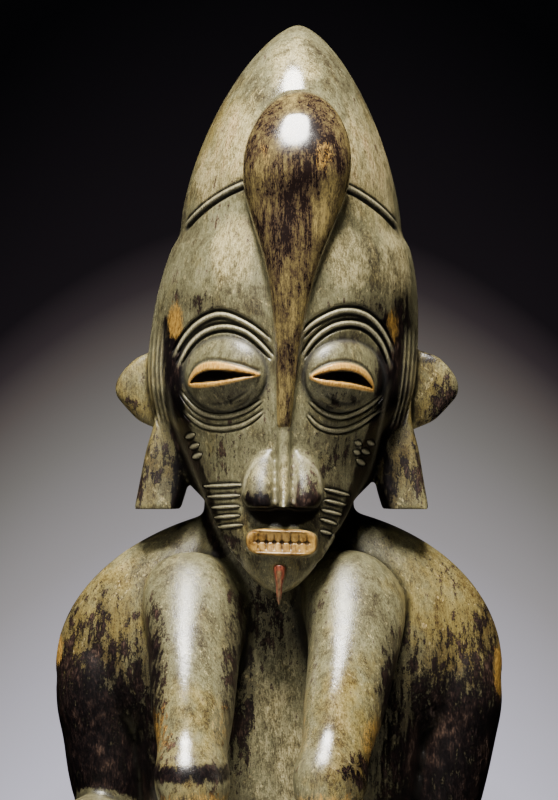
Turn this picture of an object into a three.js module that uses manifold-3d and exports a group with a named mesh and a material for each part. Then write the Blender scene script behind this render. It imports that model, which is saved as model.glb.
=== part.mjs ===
// A seated woman carved from one block of dark wood, with her stool and a low base. Millimetres, +Z up.
// She faces -Y, and the origin lies on the underside of the base, below the middle of her neck.
import * as THREE from "three";
import { mergeVertices } from "three/addons/utils/BufferGeometryUtils.js";
import Module from "manifold-3d";

const wasm = await Module();
wasm.setup();

// Heights above the underside of the base.
const TIP = 644.4;
const LOCK_TOP = 617.5;
const HOOD_FOOT = 568;
const BROW = 526;
const EYE = 513;
const LOCK_FOOT = 494.5;
const NOSE_TOP = 485.5;
const NOSE_FOOT = 464.5;
const FLAP_FOOT = 463.2;
const MOUTH = 452;
const CHIN = 433;
const SHOULDER_TOP = 465;
const SHOULDER = 404;
const SEAT = 138;
const BASE = 22;

// Half widths and depths from the neck's axis.
const HOOD_WIDTH = 41.4;
const HOOD_DEPTH = 49;
const TIP_AHEAD = 6;
const HEAD_WIDTH = 50.3;
const HEAD_BACK = 52;
const FACE_DEPTH = 57;
const EYE_APART = 22;
const EYE_WIDE = 15;
const EYE_TALL = 13.4;
const SHOULDER_WIDTH = 84.2;
const SHOULDER_DEPTH = 31;

const WOOD = { color: 0x5a4c33, roughness: 0.45, metalness: 0 };

const point = (x, y, z) => new THREE.Vector3(x, y, z);
const mix = (a, b, t) => a + (b - a) * t;
const ease = (t) => THREE.MathUtils.smoothstep(t, 0, 1);
const power = (value, exponent) => Math.sign(value) * Math.abs(value) ** exponent;

// A smooth run through evenly spaced values, read at s from 0 to 1.
function run(...values) {
  const line = new THREE.CatmullRomCurve3(values.map((value, i) => point(i, value, 0)));
  return (s) => line.getPoint(s).y;
}

// A closed skin whose rings are placed by place(angle, s), with s from 0 at one end to 1 at the other.
// Each end is closed on the middle of its ring.
function skin(around, along, place) {
  const ball = new THREE.SphereGeometry(1, around, along + 2);
  const at = ball.getAttribute("position");
  const uv = ball.getAttribute("uv");
  const middle = [0, 1].map((s) => {
    const sum = point(0, 0, 0);
    for (let i = 0; i < around; i++) {
      sum.add(place((2 * Math.PI * i) / around, s));
    }
    return sum.divideScalar(around);
  });
  for (let i = 0; i < at.count; i++) {
    const row = Math.round((1 - uv.getY(i)) * (along + 2));
    const column = Math.round(uv.getX(i) * around) % around;
    const s = THREE.MathUtils.clamp((row - 1) / along, 0, 1);
    const end = row === 0 ? middle[0] : middle[1];
    const inner = row > 0 && row < along + 2;
    const spot = inner ? place((2 * Math.PI * column) / around, s) : end;
    at.setXYZ(i, spot.x, spot.y, spot.z);
  }
  return ball;
}

// A round bar along a curve, size(s) giving its half breadths to the side and towards `out`.
function bar(curve, around, along, size, out) {
  return skin(around, along, (angle, s) => {
    const ahead = curve.getTangent(s);
    const side = new THREE.Vector3().crossVectors(ahead, out).normalize();
    const outward = new THREE.Vector3().crossVectors(side, ahead);
    const [wide, deep] = size(s);
    return curve
      .getPoint(s)
      .addScaledVector(side, wide * Math.cos(angle))
      .addScaledVector(outward, deep * Math.sin(angle));
  });
}

const through = (...points) => new THREE.CatmullRomCurve3(points, false, "centripetal");

// An egg shape with its own half sizes, each end rounded.
function egg(middle, wide, deep, tall, around = 12, along = 7) {
  const ball = new THREE.SphereGeometry(1, around, along);
  return ball.scale(wide, tall, deep).rotateX(Math.PI / 2).translate(middle.x, middle.y, middle.z);
}

// The geometry as a solid, its shared corners merged and its faces turned outwards.
function solid(geometry) {
  const bare = new THREE.BufferGeometry();
  bare.setAttribute("position", geometry.getAttribute("position"));
  bare.setIndex(geometry.getIndex());
  const merged = mergeVertices(bare, 1e-3);
  const at = merged.getAttribute("position");
  const corner = (i) => new THREE.Vector3().fromBufferAttribute(at, i);
  const faces = [];
  let volume = 0;
  for (let i = 0; i < merged.index.count; i += 3) {
    const [a, b, c] = [0, 1, 2].map((k) => merged.index.getX(i + k));
    if (a === b || b === c || c === a) continue;
    volume += corner(a).dot(corner(b).cross(corner(c)));
    faces.push([a, b, c]);
  }
  const turned = volume < 0 ? faces.map(([a, b, c]) => [a, c, b]) : faces;
  return new wasm.Manifold(
    new wasm.Mesh({
      numProp: 3,
      vertProperties: new Float32Array(at.array),
      triVerts: new Uint32Array(turned.flat()),
    }),
  );
}

const join = (geometries) => geometries.map(solid).reduce((all, one) => all.add(one));

// The head leans a little to one side as it rises.
const leanRun = run(0, 0, 0.2, 0.7, 1.3, 2.8, 4.4, 4.6, 5.2, 6, 7.2);
const lean = (z) => leanRun(THREE.MathUtils.clamp((z - CHIN) / (TIP - CHIN), 0, 1));

const upHood = (z) => THREE.MathUtils.clamp((z - HOOD_FOOT) / (TIP - HOOD_FOOT), 0, 1);
const hoodWidth = (z) => HOOD_WIDTH * (1 - upHood(z) ** 1.5) ** 0.65;

function headWidth(z) {
  const reach = z > BROW ? 76 : 64;
  return HEAD_WIDTH * Math.max(1 - Math.abs((z - BROW + 4) / reach) ** 2.2, 0) ** (1 / 2.2);
}
const sideWidth = (z) => mix(headWidth(z), hoodWidth(z), ease((z - HOOD_FOOT + 8) / 10));

// The mask of the face: its half width, the depth of its ridge line and the depth of its sharp edge.
function faceWidth(z) {
  const up = THREE.MathUtils.clamp((z - CHIN) / (BROW - CHIN), 0, 1);
  return mix(HEAD_WIDTH * 0.985 * up ** 0.57, sideWidth(z), ease((z - 488) / 22));
}
function faceDepth(z) {
  const above = Math.max(z - 535, 0);
  const below = Math.max(445 - z, 0);
  const dish = 4.5 * Math.exp(-(((z - 478) / 24) ** 2));
  const face = FACE_DEPTH - 0.0054 * above ** 2 - 0.014 * below ** 2 - dish;
  const hood = HOOD_DEPTH * (1 - upHood(z) ** 2.2) ** 0.6;
  return mix(face, hood, ease((z - HOOD_FOOT) / 20));
}
const edgeDepth = (z) => mix(faceDepth(CHIN) - 4, 0, ease((z - CHIN) / (BROW + 14 - CHIN)) ** 0.62);

// The surface of the face before its features, hollowed around each eye.
function front(x, z) {
  const across = Math.min(Math.abs(x - lean(z)) / Math.max(faceWidth(z), 0.1), 1);
  const bulge = (1 - across ** 2.3) ** mix(0.72, 0.56, ease((z - BROW) / 40));
  const plain = mix(edgeDepth(z), faceDepth(z), bulge);
  const off = Math.hypot(Math.abs(x - lean(EYE)) - EYE_APART, z - EYE) / 19;
  return -plain + 2.6 * Math.exp(-(off ** 4)) - TIP_AHEAD * upHood(z);
}

// The head from the chin to the tip of the hood. Its front half is the mask, with a sharp edge from the
// temple to the chin, and its back half is the skull, the jaw's underside and the back of the hood.
function head() {
  return skin(24, 20, (angle, s) => {
    const z = s < 0.75 ? mix(CHIN, 578, s / 0.75) : mix(578, TIP, 1 - (4 - 4 * s) ** 1.5);
    const across = Math.cos(angle);
    const ahead = Math.sin(angle) > -1e-6;
    if (ahead) return point(lean(z) + faceWidth(z) * across, front(lean(z) + faceWidth(z) * across, z), z);
    const skull = ease((z - 447) / 38);
    const wide = mix(faceWidth(z), sideWidth(z), ease((z - 452) / 26));
    const back = (HEAD_BACK * sideWidth(z)) / HEAD_WIDTH + 3 - TIP_AHEAD * upHood(z);
    const y = mix(9 - faceDepth(z), -back * power(Math.sin(angle), 0.9), skull);
    return point(lean(z) + wide * across, y, z);
  });
}

// The raised cord that edges the hood, low at the sides and lower still behind.
function hairline() {
  const ring = [];
  for (let i = 0; i < 40; i++) {
    const angle = (2 * Math.PI * i) / 40;
    const ahead = Math.cos(angle);
    const z = HOOD_FOOT - 2 + (ahead > 0 ? 20.5 : -12) * Math.abs(ahead) ** 1.6;
    const wide = sideWidth(z);
    const x = lean(z) + wide * Math.sin(angle) * 0.999;
    const back = ((HEAD_BACK * wide) / HEAD_WIDTH + 3) * Math.abs(ahead) ** 0.9;
    ring.push(point(x, ahead > 0 ? front(x, z) : back, z));
  }
  const path = new THREE.CatmullRomCurve3(ring, true);
  const [sides, steps, thick] = [4, 24, 2.2];
  const rope = new THREE.TorusGeometry(HOOD_WIDTH, thick, sides, steps);
  const at = rope.getAttribute("position");
  const uv = rope.getAttribute("uv");
  for (let i = 0; i < at.count; i++) {
    const spot = path.getPoint((Math.round(uv.getX(i) * steps) % steps) / steps);
    const turn = (2 * Math.PI * (Math.round(uv.getY(i) * sides) % sides)) / sides;
    const out = point(spot.x - lean(spot.z), spot.y, 0).normalize();
    spot.addScaledVector(out, thick * Math.cos(turn)).z += thick * Math.sin(turn);
    at.setXYZ(i, spot.x, spot.y, spot.z);
  }
  return rope;
}

// The drop-shaped lock that stands proud of the hood and runs down to the bridge of the nose.
const LOCK_SHOULDER = 0.85;
const lockWidth = run(2.7, 3.5, 4.3, 5.7, 7.7, 10.9, 15.2, 19, 19.8, 17.4, 16);
const lockRise = run(3.6, 3.8, 4.2, 5, 6.2, 7.8, 10.2, 12.6, 13.6, 12.6, 11);
function lock() {
  return skin(10, 12, (angle, s) => {
    const rounding = Math.max(s - 0.75, 0) * 4;
    const up = rounding > 0 ? mix(LOCK_SHOULDER, 0.99, Math.sin((rounding * Math.PI) / 2)) : (s * LOCK_SHOULDER) / 0.75;
    const round = Math.sqrt(Math.max(1 - (Math.max(up - LOCK_SHOULDER, 0) / (1 - LOCK_SHOULDER)) ** 2, 0));
    const z = mix(LOCK_FOOT, LOCK_TOP, up);
    const middle = mix(1.8, 8, up);
    const x = middle + lockWidth(up) * round * Math.cos(angle);
    const seat = front(middle, z);
    const high = lockRise(up) * round ** 0.7;
    const rise = Math.sin(angle) >= 0 ? high * Math.sin(angle) ** 0.8 : 8 * Math.sin(angle);
    return point(x, seat - rise, z);
  });
}

// A raised line carved on the face through places given across and up, thinner at its ends.
function line(places, radius, lift = 0.4, along = 3) {
  const path = through(...places.map(([x, z]) => point(x, front(x, z) - lift, z)));
  const size = (s) => [radius, radius].map((r) => r * (1 - 0.55 * Math.abs(2 * s - 1) ** 3));
  return bar(path, 4, along, size, point(0, -1, 0));
}

// One eye: a dome with a slit between two lids, two arcs above it for the brow and two below it.
// Each arc gives its ends and the places between them, measured from the dome's middle, outwards and up.
const BROWS = [
  [[18.8, 7.1], [14.6, 15], [9.8, 20], [3, 23], [-3.5, 22.4], [-10, 19], [-18.2, 12.2]],
  [[17.2, 2.9], [12.9, 12], [8, 16.4], [1, 18.6], [-6, 17.2], [-12.5, 12.4], [-18, 6]],
];
const POUCHES = [
  [[15.6, -6.6], [10, -12.9], [2.4, -15.4], [-6.5, -13.8], [-14, -9.2]],
  [[14.4, -13], [8.4, -18], [0.4, -20.3], [-8, -18.6], [-14.6, -13.2]],
];
const UPPER_LID = [[13.4, -2.6], [9.4, 2.7], [1.6, 4.7], [-5, 3.4], [-13, -0.6]];
const LOWER_LID = [[13.4, -3], [8, -4.8], [1, -4], [-7, -2.6], [-13, -0.8]];
const SLIT = [[11.4, -2], [6.6, 0], [0, 0], [-10, -0.6]];
function eye(side) {
  const middle = lean(EYE) + 1.1 + side * EYE_APART;
  const dome = skin(14, 4, (angle, s) => {
    const reach = Math.cos((Math.PI / 2) * Math.max(s - 0.15, 0) * 1.12);
    const x = middle + EYE_WIDE * reach * Math.cos(angle);
    const z = EYE + EYE_TALL * reach * Math.sin(angle);
    const rise = s === 0 ? -3 : 6 * Math.sin((Math.PI / 2) * s) ** 1.4;
    return point(x, front(x, z) - rise, z);
  });
  const placed = (arc) => arc.map(([out, up]) => [middle + side * out, EYE + up]);
  const proud = 4.2;
  const added = [
    dome,
    line(placed(UPPER_LID), 1.6, proud, 4),
    line(placed(LOWER_LID), 1.1, proud, 3),
    ...BROWS.map((arc) => line(placed(arc), 1.3, 0.4, 5)),
    ...POUCHES.map((arc) => line(placed(arc), 1.1, 0.4, 4)),
  ];
  const slit = line(placed(SLIT), 1.3, proud + 1.6, 3);
  return { added, slit };
}

// The nose: a narrow ridge and two rounded wings, cut off level below.
const NOSE_RISE = 12.5;
const NOSE_MIDDLE = 1.3;
function nose() {
  const ridge = skin(6, 4, (angle, s) => {
    const z = mix(NOSE_FOOT - 0.6, LOCK_FOOT + 2, s);
    const x = mix(1.1, 2, s) + mix(3.1, 2.4, s) * Math.cos(angle);
    const rise = mix(NOSE_RISE, 2.4, s ** 0.8);
    return point(x, front(0, z) - (Math.sin(angle) >= 0 ? rise * Math.sin(angle) ** 0.5 : -3), z);
  });
  const outer = run(12.8, 14.7, 14.9, 14.4, 13.2, 10.9, 5.2);
  const proud = run(8, 8.8, 8.2, 6.8, 5, 3.2, 1);
  const inner = 3.6;
  const wings = [-1, 1].map((side) =>
    skin(10, 4, (angle, s) => {
      const z = mix(NOSE_FOOT, NOSE_TOP, s);
      const half = (outer(s) - inner) / 2;
      const x = NOSE_MIDDLE + side * (inner + half) + half * Math.cos(angle);
      const out = Math.sin(angle) >= 0 ? proud(s) * Math.sin(angle) ** 0.4 : -3;
      return point(x, front(x, z) - out, z);
    }),
  );
  return [ridge, ...wings];
}

// The mouth: a proud oblong with a rim, and two rows of small teeth in the hollow inside it.
const MOUTH_MIDDLE = 1.1;
const LIP = [13.3, 4.9];
const MOUTH_RISE = 6;
function oblong(wide, tall, from, to) {
  return skin(16, 2, (angle, s) => {
    const inset = s > 0.9 ? 0.9 : 0;
    const x = MOUTH_MIDDLE + (wide - inset) * power(Math.cos(angle), 0.5);
    const z = MOUTH + (tall - inset) * power(Math.sin(angle), 0.6);
    const tilted = z - 0.03 * (x - MOUTH_MIDDLE);
    return point(x, front(MOUTH_MIDDLE, MOUTH) - mix(from, to, s) + 0.012 * x * x, tilted);
  });
}
function teeth() {
  const row = [];
  const across = 7;
  const pitch = 2.9;
  for (let i = 0; i < across; i++) {
    for (const up of [-1, 1]) {
      const x = MOUTH_MIDDLE + (i - (across - 1) / 2) * pitch;
      const y = front(MOUTH_MIDDLE, MOUTH) - MOUTH_RISE + 2.4 + 0.012 * x * x;
      const z = MOUTH + 1.5 * up - 0.03 * x;
      row.push(new THREE.BoxGeometry(pitch - 0.7, 3.6, 2.3).translate(x, y, z));
    }
  }
  return row;
}

// The peg under the lip, which tapers down to the point of the chin.
function peg() {
  const path = through(
    point(0.2, front(0, 443) - 1.4, 443.6),
    point(0.1, front(0, 437) - 2.4, 436.6),
    point(-0.1, front(0, 434) - 2.8, 428.4),
  );
  return bar(path, 6, 3, (s) => [mix(2.6, 0.6, s), mix(2.2, 0.6, s)], point(0, -1, 0));
}

// A short raised stroke on the face between two places, pointed at both ends.
function stroke(from, to, thick) {
  const [a, b] = [from, to].map(([x, z]) => point(x, front(x, z), z));
  const ahead = b.clone().sub(a);
  const bead = new THREE.OctahedronGeometry(1).scale(ahead.length() / 2, thick, thick);
  const turn = new THREE.Quaternion().setFromUnitVectors(point(1, 0, 0), ahead.clone().normalize());
  const middle = a.lerp(b, 0.5);
  return bead.applyQuaternion(turn).translate(middle.x, middle.y, middle.z);
}

// Rows of strokes on the cheeks, and of small ovals at the temples.
function marks() {
  const strokes = [];
  const left = run(-27.7, -26.3, -24.8, -23.7, -23);
  const right = run(26.2, 24.7, 23.2, 21.6, 20.2);
  for (let i = 0; i < 5; i++) {
    const z = 472 - 3.75 * i;
    strokes.push(stroke([left(i / 4), z], [-13.6, z + 0.8], 1.4));
    strokes.push(stroke([right(i / 4), z - 3.2], [15.6, z - 0.8], 1.4));
  }
  for (let i = 0; i < 3; i++) {
    const up = 3.8 * i;
    const [l, r] = [-29.8 - 1.3 * i, 30.8 + 1.6 * i];
    strokes.push(stroke([l - 2.4, 482.8 + up], [l + 2.4, 484 + up], 1.6));
    strokes.push(stroke([r - 2, 480.2 + up], [r + 2, 481.4 + up], 1.6));
  }
  return strokes;
}

// A flat ear, round above and drawn to a blunt corner below.
const earReach = run(48, 55, 58.5, 61.3, 63.8, 64.6, 64, 62.2, 59.5, 55.5, 46);
function ear(side) {
  return skin(6, 8, (angle, s) => {
    const z = mix(492.8, 523.6, s);
    const x = mix(36, earReach(s), 0.5 + 0.5 * Math.cos(angle));
    return point(2 + lean(z) + side * x, 4 + 3.8 * power(Math.sin(angle), 0.6), z);
  });
}

// The lock of hair that hangs beside the jaw, flared and cut square.
function sideLock(side) {
  const path = through(
    point(44.5, -2, 507),
    point(43, -6, 485),
    point(43.6, -6.5, 474),
    point(46, -7, FLAP_FOOT),
  );
  const breadth = run(2.6, 4.6, 7.6, 9, 8.6);
  return skin(4, 5, (angle, s) => {
    const spot = path.getPoint(s);
    const turn = angle + Math.PI / 4;
    const across = Math.SQRT2 * Math.cos(turn);
    const fore = Math.SQRT2 * Math.sin(turn);
    const narrowed = across < 0 && fore < 0 ? 2.2 * s : 0;
    const x = side * (spot.x + 0.4 + (breadth(s) - narrowed) * across) + lean(spot.z) + 0.9;
    return point(x, spot.y + mix(6, 10.5, s) * fore, spot.z);
  });
}

// The trunk from the hips to the neck: half width, reach in front and reach behind at even heights.
const trunkWidth = run(50, 50, 45, 40, 36.5, 34.5, 35, 39, 45, 50, 54, 50, 30, 28.5);
const trunkFront = run(34, 42, 46, 50, 52, 48, 42, 37, 35, 35, 34, 31, 26, 27);
const trunkBack = run(48, 50, 44, 36, 29, 26, 26, 28, 31, 34, 36, 33, 29, 28);
function trunk() {
  return skin(16, 12, (angle, s) => {
    const z = mix(SEAT - 6, 482, s);
    const deep = Math.sin(angle) > 0 ? trunkBack(s) : trunkFront(s);
    return point(
      trunkWidth(s) * power(Math.cos(angle), 0.86),
      2 + deep * power(Math.sin(angle), 0.92),
      z,
    );
  });
}

// The yoke of the shoulders: half a dome over the arms, rounded under behind the chest.
function yoke() {
  return skin(16, 6, (angle, s) => {
    const turn = mix(-0.5, 1, s) * (Math.PI / 2);
    const tall = turn > 0 ? SHOULDER_TOP - SHOULDER : 40;
    const wide = SHOULDER_WIDTH * Math.cos(turn) ** 1.03;
    const deep = SHOULDER_DEPTH * Math.cos(turn) ** 0.9;
    const x = wide * Math.cos(angle);
    const flat = Math.sqrt(Math.max(1 - 0.45 * (x / SHOULDER_WIDTH) ** 2, 0));
    const aside = 2.2 * Math.max(Math.sin(turn), 0) ** 2;
    return point(x + aside, 5 + deep * power(Math.sin(angle), 0.9) * flat, SHOULDER + tall * Math.sin(turn));
  });
}

// An arm from the shoulder to the wrist, and the hand laid at its end with its fingers side by side.
// The fingers point towards `ahead`, and the back of the hand faces `out`.
function arm(side, elbow, bend, wrist, palm, ahead, out) {
  const upper = through(
    point(side * 61, 5, SHOULDER + 14),
    point(side * 66.8, 5, SHOULDER - 4),
    point(side * 65.5, 5, SHOULDER - 30),
    elbow.clone().setZ(elbow.z - 8),
  );
  const fore = through(elbow.clone().add(point(0, 3, 2)), bend, wrist, palm);
  const thick = run(17, 18, 16.8, 15.5, 14.5, 9);
  const slim = run(11, 14, 12.5, 10.5, 9);
  const across = new THREE.Vector3().crossVectors(ahead, out).normalize();
  const fingers = [-1.5, -0.5, 0.5, 1.5].map((i) => {
    const knuckle = palm.clone().addScaledVector(across, 5 * i).addScaledVector(ahead, 4);
    const joint = knuckle.clone().addScaledVector(ahead, 11).addScaledVector(out, 0.5);
    const end = knuckle.clone().addScaledVector(ahead, 20 - 1.6 * i * i).addScaledVector(out, -1.5);
    return bar(through(knuckle, joint, end), 5, 2, () => [2.7, 3.4], out);
  });
  const thumbRoot = palm.clone().addScaledVector(across, -8);
  const thumbTip = thumbRoot.clone().addScaledVector(ahead, 13).addScaledVector(across, -5);
  return [
    bar(upper, 8, 7, (s) => [thick(s), thick(s) * 1.12], point(0, -1, 0)),
    bar(fore, 8, 6, (s) => [slim(s), slim(s)], point(0.2, -0.2, 1)),
    egg(palm, 12, 8, 12, 8, 4),
    ...fingers,
    bar(through(thumbRoot, thumbTip), 5, 1, () => [3, 3.4], out),
  ];
}

// A breast hangs from the shoulder as a long full form with a ring before its tip.
function breast(top, middle, foot, wide) {
  const path = through(top, middle, foot);
  const size = run(0.3, 0.84, 1, 1, 0.94, 0.87, 0.82, 0.76, 0.66, 0.7, 0.4);
  return bar(path, 10, 10, (s) => [wide * size(s), wide * 1.05 * size(s)], point(0, -1, 0));
}

// A leg bent at the knee, with its foot flat on the base and five toes.
function leg(side) {
  const knee = point(side * 38, -78, SEAT + 25);
  const ankle = point(side * 36, -74, BASE + 12);
  const thigh = through(
    point(side * 26, 16, SEAT + 21),
    point(side * 33, -34, SEAT + 27),
    knee,
    knee.clone().add(point(0, -15, -3)),
  );
  const shin = through(knee.clone().setZ(knee.z + 6), point(side * 38, -79, SEAT - 30), ankle);
  const thickness = run(25, 23.5, 21, 18.5, 8);
  const calf = run(15, 18.5, 18, 14.5, 12, 12.5);
  const toes = [0, 1, 2, 3, 4].map((i) => {
    const x = side * (27 + 4.6 * i);
    const reach = -118 + 0.5 * i * i;
    const path = through(point(x * 0.99, -98, BASE + 6), point(x, reach, BASE + 3));
    return bar(path, 5, 1, () => [i ? 2.7 : 3.4, i ? 4 : 4.6], point(0, 0, 1));
  });
  const foot = skin(8, 4, (angle, s) => {
    const y = mix(-56, -108, s);
    const wide = run(7, 11, 11.5, 12.5, 12.8, 10)(s);
    const tall = run(10, 19, 21, 16, 11.5, 7)(s);
    const x = side * 36 + wide * Math.cos(angle);
    return point(x, y, BASE - 1 + Math.max(tall * Math.sin(angle), 0));
  });
  return [
    bar(thigh, 10, 5, (s) => [thickness(s), thickness(s) * 0.92], point(0, 0, 1)),
    bar(shin, 8, 5, (s) => [calf(s), calf(s) * 1.08], point(0, -1, 0)),
    foot,
    ...toes,
  ];
}

// The stool: a dished oblong seat on four splayed legs.
function stool() {
  const seat = skin(16, 2, (angle, s) => {
    const rim = s < 0.5 ? mix(0.9, 1, s * 2) : mix(1, 0.95, s * 2 - 1);
    return point(
      58 * rim * power(Math.cos(angle), 0.6),
      14 + 46 * rim * power(Math.sin(angle), 0.6),
      mix(SEAT - 20, SEAT, s),
    );
  });
  const legs = [-1, 1].flatMap((side) =>
    [-20, 46].map((y) => {
      const path = through(point(side * 37, mix(14, y, 0.8), SEAT - 14), point(side * 43, y, BASE - 2));
      return bar(path, 8, 2, (s) => [mix(15, 13, s), mix(14, 12.5, s)], point(0, -1, 0));
    }),
  );
  return [seat, ...legs];
}

function base() {
  return skin(20, 2, (angle, s) => {
    const rim = s > 0.9 ? 0.97 : 1;
    return point(
      80 * rim * power(Math.cos(angle), 0.5),
      -24 + 100 * rim * power(Math.sin(angle), 0.5),
      mix(0, BASE, s),
    );
  });
}

// Elbow, bend, wrist and palm, and the ways the fingers and the back of the hand point.
const BELLY_ARM = [
  point(-60.5, 5, 344),
  point(-71.5, -22, 343.5),
  point(-48, -40, 311),
  point(-22, -38, 284),
  point(0.7, -0.35, -0.62),
  point(-0.3, -0.93, 0.2),
];
const KNEE_ARM = [
  point(48.5, 6, 308),
  point(59, -28, 262),
  point(50, -62, 210),
  point(41, -79, 189),
  point(-0.1, -0.84, -0.53),
  point(-0.05, -0.53, 0.85),
];
const navel = egg(point(0, -50, 232), 6, 7, 6, 8, 5);
const eyes = [-1, 1].map(eye);

let figure = join([
  trunk(),
  yoke(),
  breast(point(-29, -14, 443), point(-31, -40, 410), point(-31.2, -80, 350), 19.4),
  breast(point(27, -14, 444), point(27.5, -40, 411), point(15.7, -80, 351), 19),
  ...arm(-1, ...BELLY_ARM),
  ...arm(1, ...KNEE_ARM),
  ...leg(-1),
  ...leg(1),
  ...stool(),
  base(),
  navel,
  head(),
  hairline(),
  lock(),
  ear(-1),
  ear(1),
  sideLock(-1),
  sideLock(1),
  ...eyes.flatMap((one) => one.added),
  ...nose(),
  oblong(LIP[0], LIP[1], -4, MOUTH_RISE),
  peg(),
  ...marks(),
]);
for (const one of eyes) {
  figure = figure.subtract(solid(one.slit));
}
figure = figure.subtract(solid(oblong(LIP[0] - 1.6, LIP[1] - 1.3, MOUTH_RISE - 1.6, MOUTH_RISE + 4)));
figure = figure.add(join(teeth()));

// Only the outer skin is kept, which fills the pinholes between fingers that touch.
const whole = figure.decompose().reduce((a, b) => (a.volume() > b.volume() ? a : b));
const carved = whole.getMesh();
const geometry = new THREE.BufferGeometry();
geometry.setAttribute("position", new THREE.BufferAttribute(carved.vertProperties, 3));
geometry.setIndex(new THREE.BufferAttribute(carved.triVerts, 1));
geometry.computeVertexNormals();

const mesh = new THREE.Mesh(geometry, new THREE.MeshStandardMaterial(WOOD));
mesh.name = "seated_figure";
const part = new THREE.Group();
part.add(mesh);

export default part;
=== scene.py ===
import math

import bpy
import numpy as np
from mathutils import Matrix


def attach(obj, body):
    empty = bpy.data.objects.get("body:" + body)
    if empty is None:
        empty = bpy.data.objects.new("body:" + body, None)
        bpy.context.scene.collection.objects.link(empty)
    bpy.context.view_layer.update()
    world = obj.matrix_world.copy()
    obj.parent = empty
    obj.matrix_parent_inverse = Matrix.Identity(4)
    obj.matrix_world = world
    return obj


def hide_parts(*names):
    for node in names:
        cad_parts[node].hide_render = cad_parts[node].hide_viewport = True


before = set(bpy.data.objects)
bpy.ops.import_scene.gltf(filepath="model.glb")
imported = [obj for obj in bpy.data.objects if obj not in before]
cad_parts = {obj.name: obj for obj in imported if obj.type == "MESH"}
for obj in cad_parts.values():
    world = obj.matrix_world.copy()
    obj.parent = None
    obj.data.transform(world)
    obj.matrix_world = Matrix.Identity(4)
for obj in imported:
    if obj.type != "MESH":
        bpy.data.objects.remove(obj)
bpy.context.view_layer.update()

# Sizes are in millimetres and one factor makes them metres. The figure faces -Y.
MM = 0.001

# Heights above the underside of the base.
TIP = 644.4
HOOD_FOOT = 568.0
BROW = 526.0
EYE = 513.0
LOCK_TOP = 617.5
LOCK_FOOT = 494.5
NOSE_FOOT = 464.5
MOUTH = 452.0
JAW_TOP = 488.0
CHIN = 433.0
SHOULDER_TOP = 465.0
SHOULDER = 404.0
SEAT = 138.0
BASE = 22.0

# Half widths and depths from the neck's axis.
HOOD_WIDTH = 41.4
HOOD_DEPTH = 49.0
HEAD_WIDTH = 50.3
HEAD_BACK = 52.0
FACE_DEPTH = 57.0
EYE_APART = 22.0
SHOULDER_WIDTH = 84.2
SHOULDER_DEPTH = 31.0

# Mesh sizes, and the most triangles a piece may have.
HEAD_VOXEL = 0.85
BODY_VOXEL = 1.5
MOST_TRIANGLES = 196000


def mix(a, b, t):
    return a + (b - a) * t


def ease(t):
    t = np.clip(t, 0.0, 1.0)
    return t * t * (3.0 - 2.0 * t)


def power(value, exponent):
    return np.sign(value) * np.abs(value) ** exponent


def bell(off, middle, half):
    """A soft rise to 1 at middle."""
    return np.exp(-(((off - middle) / half) ** 2))


def flat_bell(off, half):
    """A rise to 1 about 0 with a flatter top and steeper sides."""
    return np.exp(-((off / half) ** 4))


def stack(x, y, z):
    return np.column_stack(np.broadcast_arrays(x, y, z)).astype(float)


def run(*values):
    """A smooth run through evenly spaced numbers or points, read at s from 0 to 1."""
    knots = np.array(values, dtype=float)
    last = len(knots) - 1

    def read(s):
        u = np.clip(np.asarray(s, dtype=float), 0.0, 1.0) * last
        i = np.minimum(u.astype(int), last - 1)
        column = i.shape + (1,) * (knots.ndim - 1)
        t = (u - i).reshape(column)
        p1, p2 = knots[i], knots[i + 1]
        before, after = np.maximum(i - 1, 0), np.minimum(i + 2, last)
        m1 = (p2 - knots[before]) / (i + 1 - before).reshape(column)
        m2 = (knots[after] - p1) / (after - i).reshape(column)
        a = 2 * t**3 - 3 * t**2 + 1
        b = t**3 - 2 * t**2 + t
        c = -2 * t**3 + 3 * t**2
        d = t**3 - t**2
        return a * p1 + b * m1 + c * p2 + d * m2

    return read


def points(piece):
    co = np.empty(3 * len(piece.data.vertices))
    piece.data.vertices.foreach_get("co", co)
    return co.reshape(-1, 3) / MM


def move(piece, co):
    piece.data.vertices.foreach_set("co", (co * MM).ravel())
    piece.data.update()


def normals(piece):
    out = np.empty(3 * len(piece.data.vertices))
    piece.data.vertices.foreach_get("normal", out)
    return out.reshape(-1, 3)


def edge_ends(piece):
    """The numbers of the two points of each edge."""
    ends = np.empty(2 * len(piece.data.edges), dtype=np.int64)
    piece.data.edges.foreach_get("vertices", ends)
    return ends.reshape(-1, 2)


def skin(name, around, along, place):
    """A sphere whose rings are placed by place(angle, s), each end closed on the middle of its ring."""
    bpy.ops.mesh.primitive_uv_sphere_add(segments=around, ring_count=along + 2, radius=MM)
    piece = bpy.context.object
    piece.name = name
    co = points(piece)
    row = np.rint(np.arccos(np.clip(co[:, 2], -1, 1)) / math.pi * (along + 2)).astype(int)
    angle = np.arctan2(co[:, 1], co[:, 0])
    spots = place(angle, np.clip((row - 1) / along, 0, 1))
    spots[row == 0] = spots[row == 1].mean(axis=0)
    spots[row == along + 2] = spots[row == along + 1].mean(axis=0)
    move(piece, spots)
    return piece


def bar(name, path, around, along, wide, deep, out):
    """A round bar along a path, with half breadths wide(s) to the side and deep(s) towards out."""
    line = run(*path)
    out = np.array(out, dtype=float)

    def place(angle, s):
        step = 1e-3
        ahead = line(np.clip(s + step, 0, 1)) - line(np.clip(s - step, 0, 1))
        ahead /= np.linalg.norm(ahead, axis=1)[:, None]
        side = np.cross(ahead, out)
        side /= np.linalg.norm(side, axis=1)[:, None]
        outward = np.cross(side, ahead)
        across = (wide(s) * np.cos(angle))[:, None] * side
        return line(s) + across + (deep(s) * np.sin(angle))[:, None] * outward

    return skin(name, around, along, place)


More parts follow.
